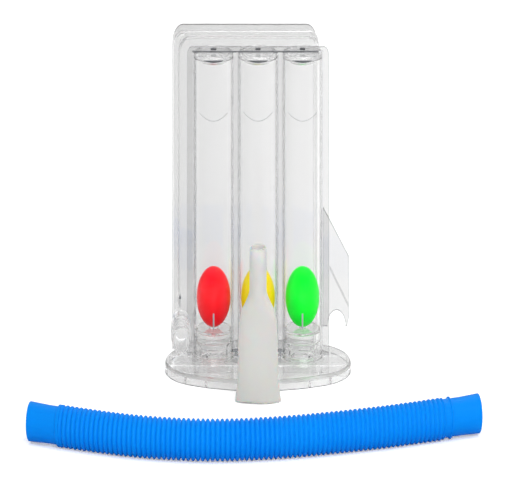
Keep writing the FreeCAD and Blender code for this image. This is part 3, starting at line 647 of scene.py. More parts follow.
@dataclass
class Tray(Part):
    """The oval tray, hollow below and ribbed, with inlets, locating rings and slots for the feet."""

    half_width: float = 71.0
    front: float = 52.0
    rear: float = 28.0
    front_bend: float = 121.0
    rear_corner: float = 37.5
    front_corner: float = 32.8
    front_corner_y: float = -10.5
    height: float = DECK
    skin: float = 1.8
    rim: float = 2.0
    top_edge: float = 1.6
    low_edge: float = 0.3
    rib: float = 1.4
    ribs_along: tuple[float, ...] = (-55.0, -39.5, 39.5, 55.0)
    ribs_across: tuple[float, ...] = (0.0, -20.0)
    ring_bore: float = 15.35
    ring_wall: float = 1.2
    ring_top: float = 6.6
    # The rings are open behind the flange's rear face
    ring_back: float = 0.9
    inlet: float = 9.0
    # Half width, half depth and floor of the slots for the flange's feet
    foot_slot: tuple[float, float, float] = (1.75, 2.35, 3.7)
    # Air notches under the rear rim: how far apart, half width and height
    notch: tuple[float, float, float] = (24.0, 6.0, 1.4)

    def outline(self, inset: float, height: float) -> list[Vector]:
        """Gives the tray's outline.

        Args:
            inset: How far it is moved inwards.
            height: The height that it lies at.

        Returns:
            Its points in metres.
        """
        slope = math.degrees(math.atan2(
            self.front_corner_y - (self.front_bend - self.front), self.half_width - self.front_corner,
        ))
        rear_x, rear_y = self.half_width - self.rear_corner, self.rear - self.rear_corner
        front_x = self.half_width - self.front_corner
        bow = (0.0, self.front_bend - self.front)
        points = [
            *arc((rear_x, rear_y), self.rear_corner - inset, 0, 90, 22),
            *arc((-rear_x, rear_y), self.rear_corner - inset, 90, 180, 22),
            *arc((-front_x, self.front_corner_y), self.front_corner - inset, 180, 180 - slope, 18),
            *arc(bow, self.front_bend - inset, 180 - slope, 360 + slope, 40)[1:-1],
            *arc((front_x, self.front_corner_y), self.front_corner - inset, 360 + slope, 360, 18),
        ]
        return [Vector((x, y, height)) * MM for x, y in points]

    def shell(self) -> Mesh:
        """Makes the tray's skin and rim, with a rounded top edge."""
        under = self.height - self.skin
        loops = [self.outline(self.rim, under), self.outline(self.rim, 0)]
        for x, z in arc((self.low_edge, self.low_edge), self.low_edge, 270, 180, 3):
            loops.append(self.outline(x, z))
        for x, z in arc((self.top_edge, self.height - self.top_edge), self.top_edge, 180, 90, 8):
            loops.append(self.outline(x, z))
        return skin_of(loops, cap=True)

    def grid(self) -> Mesh:
        """Makes the ribs under the skin, trimmed to reach into the rim and the skin by half their walls."""
        high = self.height - self.skin / 2
        half = self.rib / 2
        bars = [box(x - half, x + half, -self.front, self.rear, 0, high) for x in self.ribs_along]
        bars += [
            box(-self.half_width, self.half_width, y - half, y + half, 0, high) for y in self.ribs_across
        ]
        core = skin_of([self.outline(self.rim / 2, -1), self.outline(self.rim / 2, self.height)], cap=True)
        return carved(bars[0], *[(JOIN, bar) for bar in bars[1:]], (TRIM, core))

    def ring(self, side: Side) -> Mesh:
        """Makes one locating ring, open behind the flange.

        Args:
            side: The column that it holds.

        Returns:
            The ring's mesh, in place.
        """
        outer = self.ring_bore + self.ring_wall
        profile = rounded([
            (self.ring_bore, self.height - self.skin / 2, 0), (outer, self.height - self.skin / 2, 0),
            (outer, self.ring_top, 0.3), (self.ring_bore, self.ring_top, 0.3),
        ], 3)
        behind = box(-30, 30, self.ring_back, 30, self.height, 20)
        return placed(carved(turned(profile), (CUT, behind)), side.place)

    def build(self) -> None:
        """Builds the tray and gives its rounded top its satin finish and its foot a near-black painted shade.
        """
        steps = [(JOIN, self.grid()), *((JOIN, self.ring(side)) for side in Side)]
        for side in Side:
            steps.append((CUT, placed(rod(self.inlet, self.height - self.skin - 1, 20), side.place)))
        half_x, half_y, low = self.foot_slot
        for middle in (-PITCH / 2, PITCH / 2):
            steps.append((CUT, box(middle - half_x, middle + half_x, -half_y, half_y, low, 20)))
        apart, half, high = self.notch
        for middle in (-apart, 0, apart):
            steps.append((CUT, box(middle - half, middle + half, self.rear - 3, self.rear + 2, -1, high)))
        tray = self.dress("tray", carved(self.shell(), *steps), "tray", "base_tray")
        self.dress_rims(tray, "satin", Vector((0, 0, 1)))
        # Painted shade: the rounded foot is tinted near-black, a thin dark line like a contact shadow along
        # the floor
        tray.data.materials.append(self.finishes["shade"])
        for face in tray.data.polygons:
            if face.center.z < self.low_edge * MM and abs(face.normal.z) < FLAT:
                face.material_index = 2


@dataclass
class Column(Part):
    """One column: its clear tube, the stepped seat that carries the ball and the plug in its top."""

    side: Side
    inlet: float
    outer: float = 15.2
    bore: float = 13.8
    low: float = DECK
    top: float = 135.0
    lip: float = 0.3
    air_gap: float = 0.04
    fit: float = 13.6
    seat_top: float = 17.0
    seat_waist: float = 11.6
    seat_neck: float = 8.2
    seat_foot: float = 11.0
    seat_wall: float = 1.2
    plug_low: float = 132.9
    plug_tip: float = 10.4
    plug_floor: float = 0.8
    disc: float = 1.5
    recess: float = 0.45
    outlet: float = 6.4
    window: float = 4.5
    window_height: float = 1.7
    plug_window: float = 3.6
    plug_window_height: float = 1.6
    # The short upright rib on the front: half its width, its heights, how far out its faces lie
    level_rib: tuple[float, float, float, float, float] = (0.6, 19.0, 26.0, 0.4, 0.02)
    # A stub on the flange, painted near-black as shade: half its width, its heights, the Y of its front and
    # back
    shaded_stub: tuple[float, float, float, float, float] = (2.1, 137.4, 138.4, -1.4, -0.92)
    # The curved line: half its width, the height of its middle and how far its ends rise, half its
    # thickness, how far out it lies
    level_arc: tuple[float, float, float, float, float] = (11.0, 109.6, 2.9, 0.13, 0.05)
    # The weld where the plug's disc meets the tube, painted near-black as shade: half its span in degrees,
    # half its depth, half its height at its ends and how much more in its middle
    shaded_weld: tuple[float, float, float, float] = (29.0, 0.12, 0.12, 0.42)
    # How far outside the tube and above its top the weld lies
    weld_place: Point = (0.14, 0.45)
    # How many steps each half of the weld and of the curved line has
    weld_steps: int = 12
    arc_steps: int = 20

    def tube(self) -> Mesh:
        """Makes the tube with its lips rounded and the air window cut at the top of its back."""
        low, top = self.low + self.air_gap, self.top - self.air_gap
        wall = turned(rounded([
            (self.bore, low, self.lip), (self.outer, low, self.lip),
            (self.outer, top, self.lip), (self.bore, top, self.lip),
        ], 4), 160)
        window = box(-self.window, self.window, 2, 20, self.top - self.window_height, self.top + 2, 0.4)
        return carved(wall, (CUT, window))

    def seat(self) -> Mesh:
        """Makes the seat: a shallow cup on a waisted foot, bored for this column's air."""
        wall, foot = self.seat_wall, self.seat_foot
        slope = 0.4 * wall
        return turned(rounded([
            (self.inlet, self.seat_top, 0.3), (self.fit, self.seat_top, 0.4),
            (self.fit, self.seat_waist, 0.5), (foot, self.seat_neck, 0.5),
            (foot, self.low + self.air_gap, 0.2), (foot - wall, self.low + self.air_gap, 0.2),
            (foot - wall, self.seat_neck + slope, 0.3), (self.fit - wall, self.seat_waist + slope, 0.3),
            (self.fit - wall, self.seat_top - wall, 0.4), (self.inlet, self.seat_top - wall, 0.3),
        ], 4))

    def plug(self) -> Mesh:
        """Makes the hollow tapered plug with its outlet below and its window behind."""
        top, wall = self.top, self.seat_wall
        solid = turned(rounded([
            (self.outlet, self.plug_low, 0.2), (self.plug_tip, self.plug_low, 0.4), (self.fit, top, 0.0),
            (self.outer, top, 0.1), (self.outer, top + self.disc, 0.3), (0.0, top + self.disc, 0.0),
            (0.0, top + self.recess, 0.0), (self.fit - wall, top + self.recess, 0.2),
            (self.plug_tip - wall, self.plug_low + self.plug_floor, 0.3),
            (self.outlet, self.plug_low + self.plug_floor, 0.2),
        ], 4))
        window = box(-self.plug_window, self.plug_window, 2, 20, top - self.plug_window_height, top)
        return carved(solid, (CUT, window))

    def shaded_weld_bead(self) -> Mesh:
        """Makes the bead of weld where the plug's disc meets the front of the tube, painted near-black as
        shade.
        """
        span, half_depth, thin, swell = self.shaded_weld
        reach, height = self.outer + self.weld_place[0], self.top + self.weld_place[1]
        stations = []
        for step in range(-self.weld_steps, self.weld_steps + 1):
            share = step / self.weld_steps
            turn = math.radians(270 + span * share)
            centre = Vector((reach * math.cos(turn), reach * math.sin(turn), height))
            stations.append((centre, half_depth, thin + swell * math.cos(math.radians(90 * share))))
        return bead(stations, 8)

    def arc_bead(self) -> Mesh:
        """Makes the faint curved line that is moulded round the tube's front above the middle."""
        half, low, rise, radius, out = self.level_arc
        stations = []
        for step in range(-self.arc_steps, self.arc_steps + 1):
            share = step / self.arc_steps
            x = half * share
            spoke = Vector((x, -math.sqrt(self.outer ** 2 - x ** 2), 0))
            centre = spoke + spoke.normalized() * out + Vector((0, 0, low + rise * share ** 2))
            stations.append((centre, radius, radius))
        return bead(stations, 6)

    def build(self) -> None:
        """Builds the tube, the seat, the plug and the moulded marks."""
        half, low, high, front, back = self.level_rib
        rib = box(-half, half, -self.outer - front, -self.outer - back, low, high, 0.15)
        half, low, high, front, back = self.shaded_stub
        stub = box(-half, half, front, back, low, high, 0.2)
        # The stub and the weld bead on the plug are painted near-black as shade
        pieces = (
            ("tube", self.tube(), "tube", "column"),
            ("socket", self.seat(), "seat", "seat"),
            ("plug", self.plug(), "tray", "cap"),
            ("level_rib", rib, "mark"),
            ("level_arc", self.arc_bead(), "mark"),
            ("shaded_stub", stub, "shade"),
            ("shaded_plug_weld", self.shaded_weld_bead(), "shade"),
        )
        word = self.side.word
        for name, mesh, finish, *node in pieces:
            nodes = [f"{item}_{word}" for item in node]
            self.dress(f"{name}_{word}", placed(mesh, self.side.place), finish, *nodes)


@dataclass
class Ball(Part):
    """A hollow moulded ball with the faint raised seam of its mould."""

    colour: str
    side: Side
    radius: float = 13.0
    centre: float = 30.3
    seam: float = 0.05
    seam_half: float = 0.3
    lean: float = 24.0
    rows: int = 96

    def build(self) -> None:
        """Builds the ball, its seam leaning as it came to rest."""
        profile = []
        for step in range(1, self.rows):
            turn = math.pi * step / self.rows
            height = self.radius * math.cos(turn)
            swell = self.seam * max(0.0, 1 - (height / self.seam_half) ** 2)
            profile.append((self.radius * math.sin(turn) - self.seam + swell, height))
        tilt = Matrix.Rotation(math.radians(self.lean), 4, "Y")
        mesh = placed(turned(profile, ring=False), tilt, at(0, 0, self.centre), self.side.place)
        self.dress(
            f"float_{self.colour}", mesh, self.colour, f"ball_{self.colour}",
            body=Body(self.colour), slot=Slot(f"{self.colour}_ball"), crease=60,
        )


@dataclass
class Housing(Part):
    """The flange between the columns and the two halves of the air box behind it."""

    bay: float = 15.35
    low: float = DECK
    slot_top: float = 136.7
    gap: float = 0.04
    panel_half: float = 54.3
    panel_top: float = 138.9
    panel_corner: float = 4.0
    panel_thick: float = 1.8
    port: Point = (-58.8, 14.2)
    port_bay: float = 8.15
    port_bore: float = 5.2
    box_top: float = 143.1
    wall: float = 1.5
    shell: tuple[float, float] = (-61.4, 46.7)
    shell_corners: tuple[float, float] = (9.0, 6.0)
    shell_back: float = 12.0
    cover: tuple[float, float] = (-65.8, 45.4)
    cover_corner: float = 8.6
    cover_back: float = 27.0
    edge: float = 0.5
    # Half width, half depth and heights of the flange's feet
    foot: tuple[float, float, float, float] = (1.6, 2.2, 3.74, 7.2)
    # The weld line across the flange, painted near-black as shade: its sides, front and back, and its heights
    shaded_weld: tuple[float, ...] = (-50.5, 46.0, -1.25, -0.92, 136.45, 136.95)
    # The flow arrow on the front of the duct, and its front and back
    arrow_depths: Point = (0.5, 0.92)
    arrow: tuple[Point, ...] = (
        (-59.9, 25.4), (-59.5, 25.4), (-59.5, 29.0), (-58.9, 29.0), (-59.7, 31.4), (-60.5, 29.0),
        (-59.9, 29.0),
    )

    def panel(self) -> Mesh:
        """Makes the flange: one plate slotted for the columns and notched for the hose's port."""
        half, low, top, corner = self.panel_half, self.low + self.gap, self.panel_top, self.panel_corner
        reach = math.degrees(math.acos((-half - self.port[0]) / self.port_bay))
        sides = [(-half, low, 0), (-half, top, corner), (half, top, corner), (half, low, 0)]
        outline = [
            (-half, low), *arc(self.port, self.port_bay, -reach, reach, 14), *rounded(sides, 10)[1:],
        ]
        for side in reversed(Side):
            middle = side.value * PITCH
            for across, up in ((1, 0), (1, 1), (-1, 1), (-1, 0)):
                outline.append((middle + across * self.bay, self.slot_top if up else low))
        return plate(outline, -self.panel_thick / 2, self.panel_thick / 2, 0.4)

    def slab(self, ends: Point, corners: Point, front: float, back: float, edge: float,
             inset: float = 0.0, low: float = DECK) -> Mesh:
        """Makes an upright slab with rounded top corners.

        Args:
            ends: The X of its left and right sides.
            corners: The radii of its left and right top corners.
            front: The Y of its front face.
            back: The Y of its back face.
            edge: The radius that its rims are rounded by.
            inset: How far its sides and top are moved inwards.
            low: Its lower end.

        Returns:
            The slab's mesh.
        """
        left, right, top = ends[0] + inset, ends[1] - inset, self.box_top - inset
        return plate(rounded([
            (left, low, 0), (left, top, corners[0] - inset),
            (right, top, corners[1] - inset), (right, low, 0),
        ], 12), front, back, edge)

    def bays(self, wider: float) -> list[tuple[str, Mesh]]:
        """Gives the cuts that the columns stand in, wider than their bays by some millimetres."""
        radius = self.bay + wider
        return [(CUT, placed(rod(radius, -5, self.slot_top, 160), side.place)) for side in Side]

    def bore(self, radius: float, front: float, back: float) -> tuple[str, Mesh]:
        """Gives the cut of a round hole for the hose's port."""
        lie = Matrix.Rotation(math.radians(-90), 4, "X")
        return CUT, placed(rod(radius, 0, back - front, 96), lie, at(self.port[0], front, self.port[1]))

    def front_half(self) -> Mesh:
        """Makes the front half of the air box: a rounded frame, open behind and where the columns stand."""
        ends, corners, wall = self.shell, self.shell_corners, self.wall
        front, back = self.panel_thick / 2 + self.gap, self.shell_back
        outer = self.slab(ends, corners, front, back, self.edge, low=self.low + self.gap)
        inner = self.slab(ends, corners, front + wall, back + 5, 0, wall, -5)
        window = box(-PITCH - self.bay + 2, ends[1] - wall, -1, front + 2 * wall, -5, self.slot_top)
        hole = self.bore(self.port_bay, -10, 30)
        return carved(outer, (CUT, inner), (CUT, window), *self.bays(0.9), hole)

    def rear_half(self) -> Mesh:
        """Makes the rear half of the air box: back, sides, floor and a mouth that meets the front half."""
        ends, corners, wall = self.cover, (self.cover_corner, self.cover_corner), self.wall
        front, back = self.shell_back + self.gap, self.cover_back
        floor = self.low + wall
        outer = self.slab(ends, corners, front, back, self.edge, low=self.low + self.gap)
        inner = self.slab(ends, corners, front + wall, back - wall, 0, wall, floor)
        mouth = self.slab((self.shell[0], ends[1]), corners, front - 3, front + 2 * wall, 0, wall, floor)
        hole = self.bore(self.port_bore, 5, front + 2 * wall)
        return carved(outer, (CUT, inner), (CUT, mouth), *self.bays(0.0), hole)

    def build(self) -> None:
        """Builds the flange, its feet and marks and the air box."""
        flange = self.dress("flange", self.panel(), "plate", "front_panel")
        self.dress_rims(flange, "rim", Vector((0, 1, 0)))
        half_x, half_y, low, high = self.foot
        for middle, word in ((-PITCH / 2, "left"), (PITCH / 2, "right")):
            foot = box(middle - half_x, middle + half_x, -half_y, half_y, low, high, 0.25)
            self.dress(f"flange_foot_{word}", foot, "mark")
        # The weld line and the flow arrow are painted near-black as shade
        self.dress("shaded_weld_line", box(*self.shaded_weld, 0.15), "shade")
        self.dress("flow_arrow", plate(self.arrow, *self.arrow_depths), "shade")
        self.dress("air_box_front", self.front_half(), "casing", "plenum_shell")
        self.dress("air_box_back", self.rear_half(), "casing", "rear_cover")


@dataclass
class Port(Part):
    """The spigot at the lower left that the hose grips."""

    place: Point = (-58.8, 14.2)
    boss: float = 8.0
    collar: float = 7.3
    spigot: float = 6.5
    bore: float = 5.2
    back: float = 12.0
    face: float = 0.9
    collar_end: float = 2.5
    reach: float = 14.0

    def build(self) -> None:
        """Builds the port, turned about its own axis and laid forwards."""
        mesh = turned(rounded([
            (self.bore, -self.back, 0.2), (self.boss, -self.back, 0.2), (self.boss, self.face, 0.4),
            (self.collar, self.face, 0.0), (self.collar, self.collar_end, 0.4),
            (self.spigot, self.collar_end, 0.2), (self.spigot, self.reach, 0.5), (self.bore, self.reach, 0.2),
        ], 4))
        placed(mesh, Matrix.Rotation(math.radians(90), 4, "X"), at(self.place[0], 0, self.place[1]))
        self.dress("spigot", mesh, "casing", "hose_port")


@dataclass
class HolderFin(Part):
    """The fin behind the flange's right edge, with the open notch that holds the hose's end."""

    root: float = 49.7
    reach: float = 69.6
    top: float = 69.0
    shoulder: float = 47.3
    waist: float = 21.0
    bottom: float = 17.0
    notch: Point = (60.0, 17.0)
    notch_radius: float = 6.9
    front: float = 0.94
    thick: float = 1.8
    # How far the outline is cut back at its lower right
    chamfer: float = 1.6
    # The slanting rib on its front, and how far in front of it the rib's front and back lie
    rib_reach: Point = (0.7, 0.03)
    rib: tuple[Point, ...] = ((54.7, 42.0), (69.0, 25.5), (69.0, 27.1), (54.7, 43.6))

    def build(self) -> None:
        """Builds the fin and the raised rib across it."""
        outline = arc(self.notch, self.notch_radius, 0, 180, 24) + [
            (self.root, self.bottom), (self.root, self.top), (self.reach, self.shoulder),
            (self.reach, self.waist), (self.reach - self.chamfer, self.bottom),
        ]
        fin = plate(outline, self.front, self.front + self.thick, 0.45)
        rib = plate(self.rib, *(self.front - out for out in self.rib_reach), 0.15)
        for name, mesh, *node in (("fin", fin, "holder_fin"), ("fin_rib", rib)):
            self.dress_rims(self.dress(name, mesh, "plate", *node), "rim", Vector((0, 1, 0)))


@dataclass
class Mouthpiece(Part):
    """The mouthpiece, standing on its flared oval mouth end."""

    forward: float = -72.0
    wall: float = 1.3
    top: float = 67.0
    segments: int = 128
    rows: int = 90
    lip: float = 0.35
    lip_wave: float = 0.9
    lip_wave_top: float = 6.0
    # Height, width and thickness of the outside, read up the mouthpiece
    sections: tuple[tuple[float, float, float], ...] = (
        (0.0, 35.2, 14.2), (1.2, 34.8, 14.2), (3.0, 34.0, 14.0), (8.0, 32.2, 13.7), (14.0, 31.1, 13.4),
        (20.0, 30.5, 13.3), (28.0, 29.7, 13.3), (32.0, 29.1, 13.3), (35.0, 28.2, 13.3), (37.0, 27.2, 13.3),
        (39.6, 25.0, 13.3), (42.0, 21.2, 13.3), (44.0, 17.8, 13.2), (46.0, 14.9, 13.2), (47.6, 13.4, 13.1),
        (49.5, 13.0, 13.0), (58.0, 13.0, 13.0), (67.0, 13.0, 13.0),
    )

    def size_at(self, height: float) -> tuple[float, float]:
        """Reads the outside smoothly between the sections.

        Args:
            height: The height in millimetres.

        Returns:
            The width and thickness there.
        """
        rows = self.sections
        place = max(0, min(len(rows) - 2, sum(row[0] <= height for row in rows) - 1))
        low, high = rows[place], rows[place + 1]
        before = rows[max(0, place - 1)]
        after = rows[min(len(rows) - 1, place + 2)]
        span = high[0] - low[0]
        share = (height - low[0]) / span
        found = []
        for item in (1, 2):
            rise_low = (high[item] - before[item]) / (high[0] - before[0]) * span
            rise_high = (after[item] - low[item]) / (after[0] - low[0]) * span
            found.append(
                (2 * share ** 3 - 3 * share ** 2 + 1) * low[item]
                + (share ** 3 - 2 * share ** 2 + share) * rise_low
                + (3 * share ** 2 - 2 * share ** 3) * high[item] + (share ** 3 - share ** 2) * rise_high
            )
        return found[0], found[1]

    def loop(self, height: float, inset: float) -> list[Vector]:
        """Gives the oval at a height, with the lip's wave near the mouth end.

        Args:
            height: The height in millimetres.
            inset: How far the oval is moved inwards.

        Returns:
            Its points in metres.
        """
        width, thick = self.size_at(min(height, self.top))
        points = []
        fade = max(0.0, 1 - height / self.lip_wave_top) ** 2
        for step in range(self.segments):
            turn = 2 * math.pi * step / self.segments
            x = (width / 2 - inset) * math.cos(turn)
            y = (thick / 2 - inset) * math.sin(turn)
            lift = self.lip_wave * fade * (0.55 + 0.45 * math.cos(3 * turn)) * abs(math.sin(turn))
            points.append(Vector((x, y + self.forward, height + lift)) * MM)
        return points

    def build(self) -> None:
        """Builds the mouthpiece's wall: up its outside, over its top and down its inside."""
        lip = self.lip
        heights = [lip + (self.top - 2 * lip) * step / self.rows for step in range(self.rows + 1)]
        loops = [self.loop(0.0, lip), self.loop(lip * 0.3, lip * 0.3)]
        loops += [self.loop(height, 0.0) for height in heights]
        loops += [self.loop(self.top, lip), self.loop(self.top, self.wall - lip)]
        loops += [self.loop(height, self.wall) for height in reversed(heights)]
        loops += [self.loop(0.0, self.wall - lip)]
        self.dress(
            "mouth_tube", skin_of(loops, ring=True), "milky", "mouthpiece",
            body=Body.MOUTH, slot=Slot.MILKY, crease=50,
        )


@dataclass
class Hose(Part):
    """The corrugated hose that lies in front, with its two plain cuffs."""

    # Points of the centre line in millimetres, given as in the model's source
    route: tuple[Point, ...] = (
        (-149.5, -166.5), (-118.0, -179.6), (-78.0, -191.0), (-30.0, -196.0),
        (18.0, -189.8), (64.0, -178.0), (108.0, -164.6), (144.0, -150.0),
    )
    height: float = 9.2
    outer: float = 9.2
    bore: float = 7.2
    length: float = 304.3
    pitch: float = 3.72
    groove: float = 1.5
    # The tube ends in a plain neck before the right cuff's ring
    plain_end: float = 3.6
    segments: int = 72
    cuff_outer: float = 8.25
    cuff_bore: float = 6.6
    cuff_flare: float = 0.35
    cuff_ring: float = 9.1
    cuff_left: float = 27.2
    cuff_right: float = 26.7

    def centre_line(self) -> list[Vector]:
        """Gives close points along the hose's smooth line, read from its spline."""
        curve = bpy.data.curves.new("hose_line", "CURVE")
        curve.dimensions = "3D"
        curve.resolution_u = 40
        spline = curve.splines.new("NURBS")
        spline.points.add(len(self.route) - 1)
        for point, (x, y) in zip(spline.points, self.route):
            point.co = (x * MM, y * MM, self.height * MM, 1)
        spline.order_u = 3
        spline.use_endpoint_u = True
        holder = bpy.data.objects.new("hose_line", curve)
        bpy.context.scene.collection.objects.link(holder)
        mesh = bpy.data.meshes.new_from_object(
            holder.evaluated_get(bpy.context.evaluated_depsgraph_get())
        )
        line = [vertex.co.copy() for vertex in mesh.vertices]
        bpy.data.objects.remove(holder)
        bpy.data.curves.remove(curve)
        bpy.data.meshes.remove(mesh)
        return line

    @staticmethod
    def stations(line: list[Vector], step: float) -> list[tuple[Vector, Vector, float]]:
        """Finds even places along a line.

        Args:
            line: The line's points.
            step: About how far apart the places are, in metres.

        Returns:
            Each place as a point, the line's direction there and the share of its length.
        """
        lengths = [0.0]
        for first, second in zip(line, line[1:]):
            lengths.append(lengths[-1] + (second - first).length)
        count = round(lengths[-1] / step)
        found, place = [], 0
        for number in range(count + 1):
            target = lengths[-1] * number / count
            while place < len(line) - 2 and lengths[place + 1] < target:
                place += 1
            share = (target - lengths[place]) / (lengths[place + 1] - lengths[place])
            before, after = line[max(0, place - 1)], line[min(len(line) - 1, place + 2)]
            heading = (after - before).normalized()
            found.append((line[place].lerp(line[place + 1], share), heading, target / lengths[-1]))
        return found

    def ring(self, point: Vector, heading: Vector, radius: float) -> list[Vector]:
        """Gives a circle that lies square across the hose.

        Args:
            point: Its middle.
            heading: The hose's direction.
            radius: Its radius in millimetres.

        Returns:
            Its points in metres.
        """
        across = heading.cross(Vector((0, 0, 1))).normalized()
        up = across.cross(heading)
        turns = (2 * math.pi * step / self.segments for step in range(self.segments))
        return [point + (across * math.cos(turn) + up * math.sin(turn)) * (radius * MM) for turn in turns]

    def tube(self, line: list[Vector]) -> tuple[bpy.types.Mesh, list[Vector]]:
        """Makes the corrugated wall.

        Args:
            line: The hose's centre line.

        Returns:
            The wall and the points that it follows.
        """
        fine = self.stations(line, self.pitch * MM / 12)
        loops = []
        for point, heading, share in fine:
            run = share * self.length
            ridge = abs(math.cos(math.pi * run / self.pitch)) ** 0.8
            # The tube's ends were stretched less in use than its middle, so their grooves are shallower
            depth = self.groove * (0.75 + 0.25 * max(0.0, math.sin(math.pi * share)) ** 0.6)
            radius = self.outer - depth * (1 - ridge)
            if self.length - run < self.plain_end:
                radius = self.cuff_outer + 0.1
            loops.append(self.ring(point, heading, radius))
        coarse = self.stations(line, self.pitch * MM)
        loops += [self.ring(point, heading, self.bore) for point, heading, _ in reversed(coarse)]
        return skin_of(loops, ring=True), [point for point, _, _ in fine]

    def cuff(self, root: Vector, heading: Vector, length: float, start: float, ring: float) -> Mesh:
        """Makes a plain cuff that runs outwards from the tube's end, with a ring near where they meet.

        Args:
            root: The tube's end.
            heading: The way outwards.
            length: The cuff's length.
            start: Where its ring begins.
            ring: The ring's width.

        Returns:
            The cuff's mesh, in place.
        """
        flare = self.cuff_outer + self.cuff_flare
        profile = rounded([
            (self.cuff_bore, 0.02, 0.2), (self.cuff_outer + 0.15, 0.02, 0.1),
            (self.cuff_outer + 0.15, start, 0.1), (self.cuff_ring, start + 0.4, 0.2),
            (self.cuff_ring, start + 0.4 + ring, 0.2), (self.cuff_outer, start + 0.9 + ring, 0.3),
            (self.cuff_outer, length * 0.45, 4.0), (flare, length, 0.35), (self.cuff_bore, length, 0.3),
        ], 4)
        lie = heading.to_track_quat("Z", "Y").to_matrix().to_4x4()
        return placed(turned(profile, 96), lie, Matrix.Translation(root))

    def build(self) -> None:
        line = self.centre_line()
        mesh, path = self.tube(line)
        look = {"body": Body.HOSE, "slot": Slot.BLUE}
        tube = self.dress("corrugated_tube", mesh, "blue", "hose_tube", crease=80, **look)
        ends = (
            ("left", line[0], line[1], self.cuff_left, 0.1, 2.4),
            ("right", line[-1], line[-2], self.cuff_right, 1.5, 0.6),
        )
        for word, root, inner, length, start, ring in ends:
            mesh = self.cuff(root, (root - inner).normalized(), length, start, ring)
            self.dress(f"cuff_{word}", mesh, "blue", f"hose_cuff_{word}", **look)


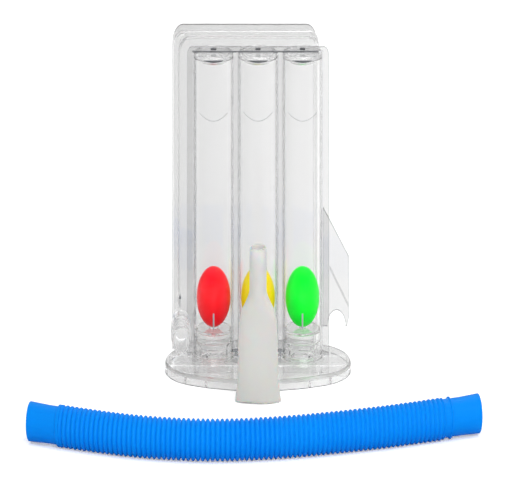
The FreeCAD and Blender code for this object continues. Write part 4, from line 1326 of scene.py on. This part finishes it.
@dataclass
class Studio:
    """The floor, light and camera."""

    # The photograph: 509 by 498 pixels, seen from 12 degrees above, stretched upwards 1.8 times
    elevation: float = 12.0
    stretch: float = 1.8
    view_width: float = 389.4
    distance: float = 3.0
    target: tuple[float, float, float] = (-2.7, 0.0, 50.8)
    # Half the floor's width in metres, and how far in millimetres it lies below the tray's foot
    floor_half: float = 60.0
    floor_drop: float = 0.1
    # Light that the floor gives back to rays of each kind, over what its paint reflects
    floor_glow: tuple[tuple[str, float], ...] = (("Is Camera Ray", 0.3), ("Is Glossy Ray", 0.05))
    # Painted light: the most it gives to rays that passed a clear wall, as if the light were brighter on the
    # right, and how far to each side that fades in
    clear_glow: float = 0.13
    clear_glow_reach: float = 0.06
    # Brightness of the sky at the left and right
    sky: Point = (0.55, 0.85)
    # Each lamp's name, place and width in metres, and power in watts
    lamps: tuple[tuple[str, tuple[float, float, float], float, float], ...] = (
        ("front", (0.25, -2.2, 0.4), 1.8, 26.0), ("key", (1.1, -1.3, 1.9), 1.4, 10.0),
        ("fill", (-1.5, -1.0, 1.4), 1.6, 4.0), ("rear", (0.5, 1.5, 2.2), 1.6, 8.0),
        ("top", (0.1, 0.9, 2.2), 1.6, 5.0),
    )
    lamp_aim: tuple[float, float, float] = (0.0, -0.05, 0.06)

    def camera(self) -> None:
        """Sets up the camera on a slanting rig that gives the photograph's upward stretch.

        The rig squeezes what the lens sees upwards, so that heights come out 1.8 times as tall as widths.
        Without the rig, as in the other views, the object shows in its true proportions.
        """
        tilt = math.radians(self.elevation)
        aim = Vector(self.target) * MM
        place = aim + Vector((0, -math.cos(tilt), math.sin(tilt))) * self.distance
        look = (aim - place).to_track_quat("-Z", "Y").to_matrix().to_4x4()
        turn = math.acos(1 / self.stretch)
        slant = Matrix((
            (1, 0, 0, 0), (0, math.cos(turn), 0, 0), (0, math.sin(turn), 1, 0), (0, 0, 0, 1),
        ))
        rig = bpy.data.objects.new("camera_rig", None)
        lens = bpy.data.cameras.new("camera")
        lens.type = "ORTHO"
        lens.ortho_scale = self.view_width * MM
        lens.clip_end = 1000.0
        camera = bpy.data.objects.new("camera", lens)
        for item in (rig, camera):
            bpy.context.scene.collection.objects.link(item)
        camera.parent = rig
        camera.matrix_parent_inverse = Matrix.Translation(place) @ look @ slant
        bpy.context.scene.camera = camera

    def floor(self) -> None:
        """Lays a very large pale floor that shows white yet keeps the object's shadow."""
        material, tree = new_material("painted_floor")
        paint = blend(tree, "EDEDED", "EFEFEF", noise(tree, 60.0))
        matt = add_node(tree, "BsdfDiffuse", {"Roughness": 0.6}, {"Color": paint})
        path = add_node(tree, "LightPath")
        # Painted light: seen through clear walls, the floor glows from nothing on the left to its most on the
        # right
        reach = self.clear_glow_reach
        across = ramp(tree, along(tree, "X"), -reach, reach, 0.0, self.clear_glow)
        links = {0: path.outputs["Is Transmission Ray"], 1: across}
        strength = add_node(tree, "Math", links=links, operation="MULTIPLY")
        for ray, share in self.floor_glow:
            links = {0: path.outputs[ray], 2: strength.outputs[0]}
            strength = add_node(tree, "Math", {1: share}, links, operation="MULTIPLY_ADD")
        glow = add_node(tree, "Emission", links={"Strength": strength.outputs[0]})
        both = add_node(tree, "AddShader", links={0: matt.outputs["BSDF"], 1: glow.outputs["Emission"]})
        add_node(tree, "OutputMaterial", links={"Surface": both.outputs["Shader"]})
        made = bmesh.new()
        bmesh.ops.create_grid(made, x_segments=2, y_segments=2, size=self.floor_half)
        mesh = bpy.data.meshes.new("floor")
        made.to_mesh(mesh)
        made.free()
        mesh.materials.append(material)
        floor = bpy.data.objects.new("floor", mesh)
        # Below the tray, so that light leaves the tray's clear rim before it meets the floor
        floor.location.z = -self.floor_drop * MM
        bpy.context.scene.collection.objects.link(floor)

    def light(self) -> None:
        """Adds the soft lamps and a plain grey sky, a little brighter from the right."""
        world = bpy.data.worlds.new("studio")
        bpy.context.scene.world = world
        world.use_nodes = True
        tree = world.node_tree
        tree.nodes.clear()
        side = ramp(tree, along(tree, "X", "Generated"), -1.0, 1.0, *self.sky)
        sky = add_node(tree, "Background", {"Color": linear("FFFFFF")}, {"Strength": side})
        white = add_node(tree, "Background", {"Color": linear("FFFFFF"), "Strength": 1.0})
        both = by_ray(tree, "Is Camera Ray", sky.outputs["Background"], white.outputs["Background"])
        add_node(tree, "OutputWorld", links={"Surface": both})
        for name, place, width, power in self.lamps:
            lamp = bpy.data.lights.new(name, "AREA")
            lamp.size, lamp.energy = width, power
            holder = bpy.data.objects.new(name, lamp)
            holder.location = place
            holder.rotation_mode = "QUATERNION"
            holder.rotation_quaternion = (Vector(self.lamp_aim) - Vector(place)).to_track_quat("-Z", "Y")
            bpy.context.scene.collection.objects.link(holder)

    def render_settings(self) -> None:
        """Keeps colours plain and lets light pass through the many clear walls."""
        scene = bpy.context.scene
        scene.view_settings.view_transform = "Standard"
        scene.cycles.max_bounces = 64
        scene.cycles.transmission_bounces = 48
        scene.cycles.glossy_bounces = 48
        scene.cycles.transparent_max_bounces = 48


def main() -> None:
    """Builds the scene in order: camera and hose first, then the stand, its balls and the mouthpiece."""
    logging.basicConfig(level=logging.INFO, format="%(name)s: %(message)s")
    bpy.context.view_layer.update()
    studio = Studio()
    studio.render_settings()
    studio.camera()
    recipes = {**CLEAR_FINISHES, **MOULDED_FINISHES}
    finishes = {word: recipe.build() for word, recipe in recipes.items()}
    inlets = {Side.LEFT: 3.5, Side.MIDDLE: 2.9, Side.RIGHT: 2.4}
    balls = {"red": Side.LEFT, "yellow": Side.MIDDLE, "green": Side.RIGHT}
    parts = (
        Hose(finishes), Tray(finishes), *(Column(finishes, *item) for item in inlets.items()),
        *(Ball(finishes, *item) for item in balls.items()),
        Housing(finishes), Port(finishes), HolderFin(finishes), Mouthpiece(finishes),
    )
    for part in parts:
        part.build()
    studio.floor()
    studio.light()


if __name__ == "__main__":
    main()
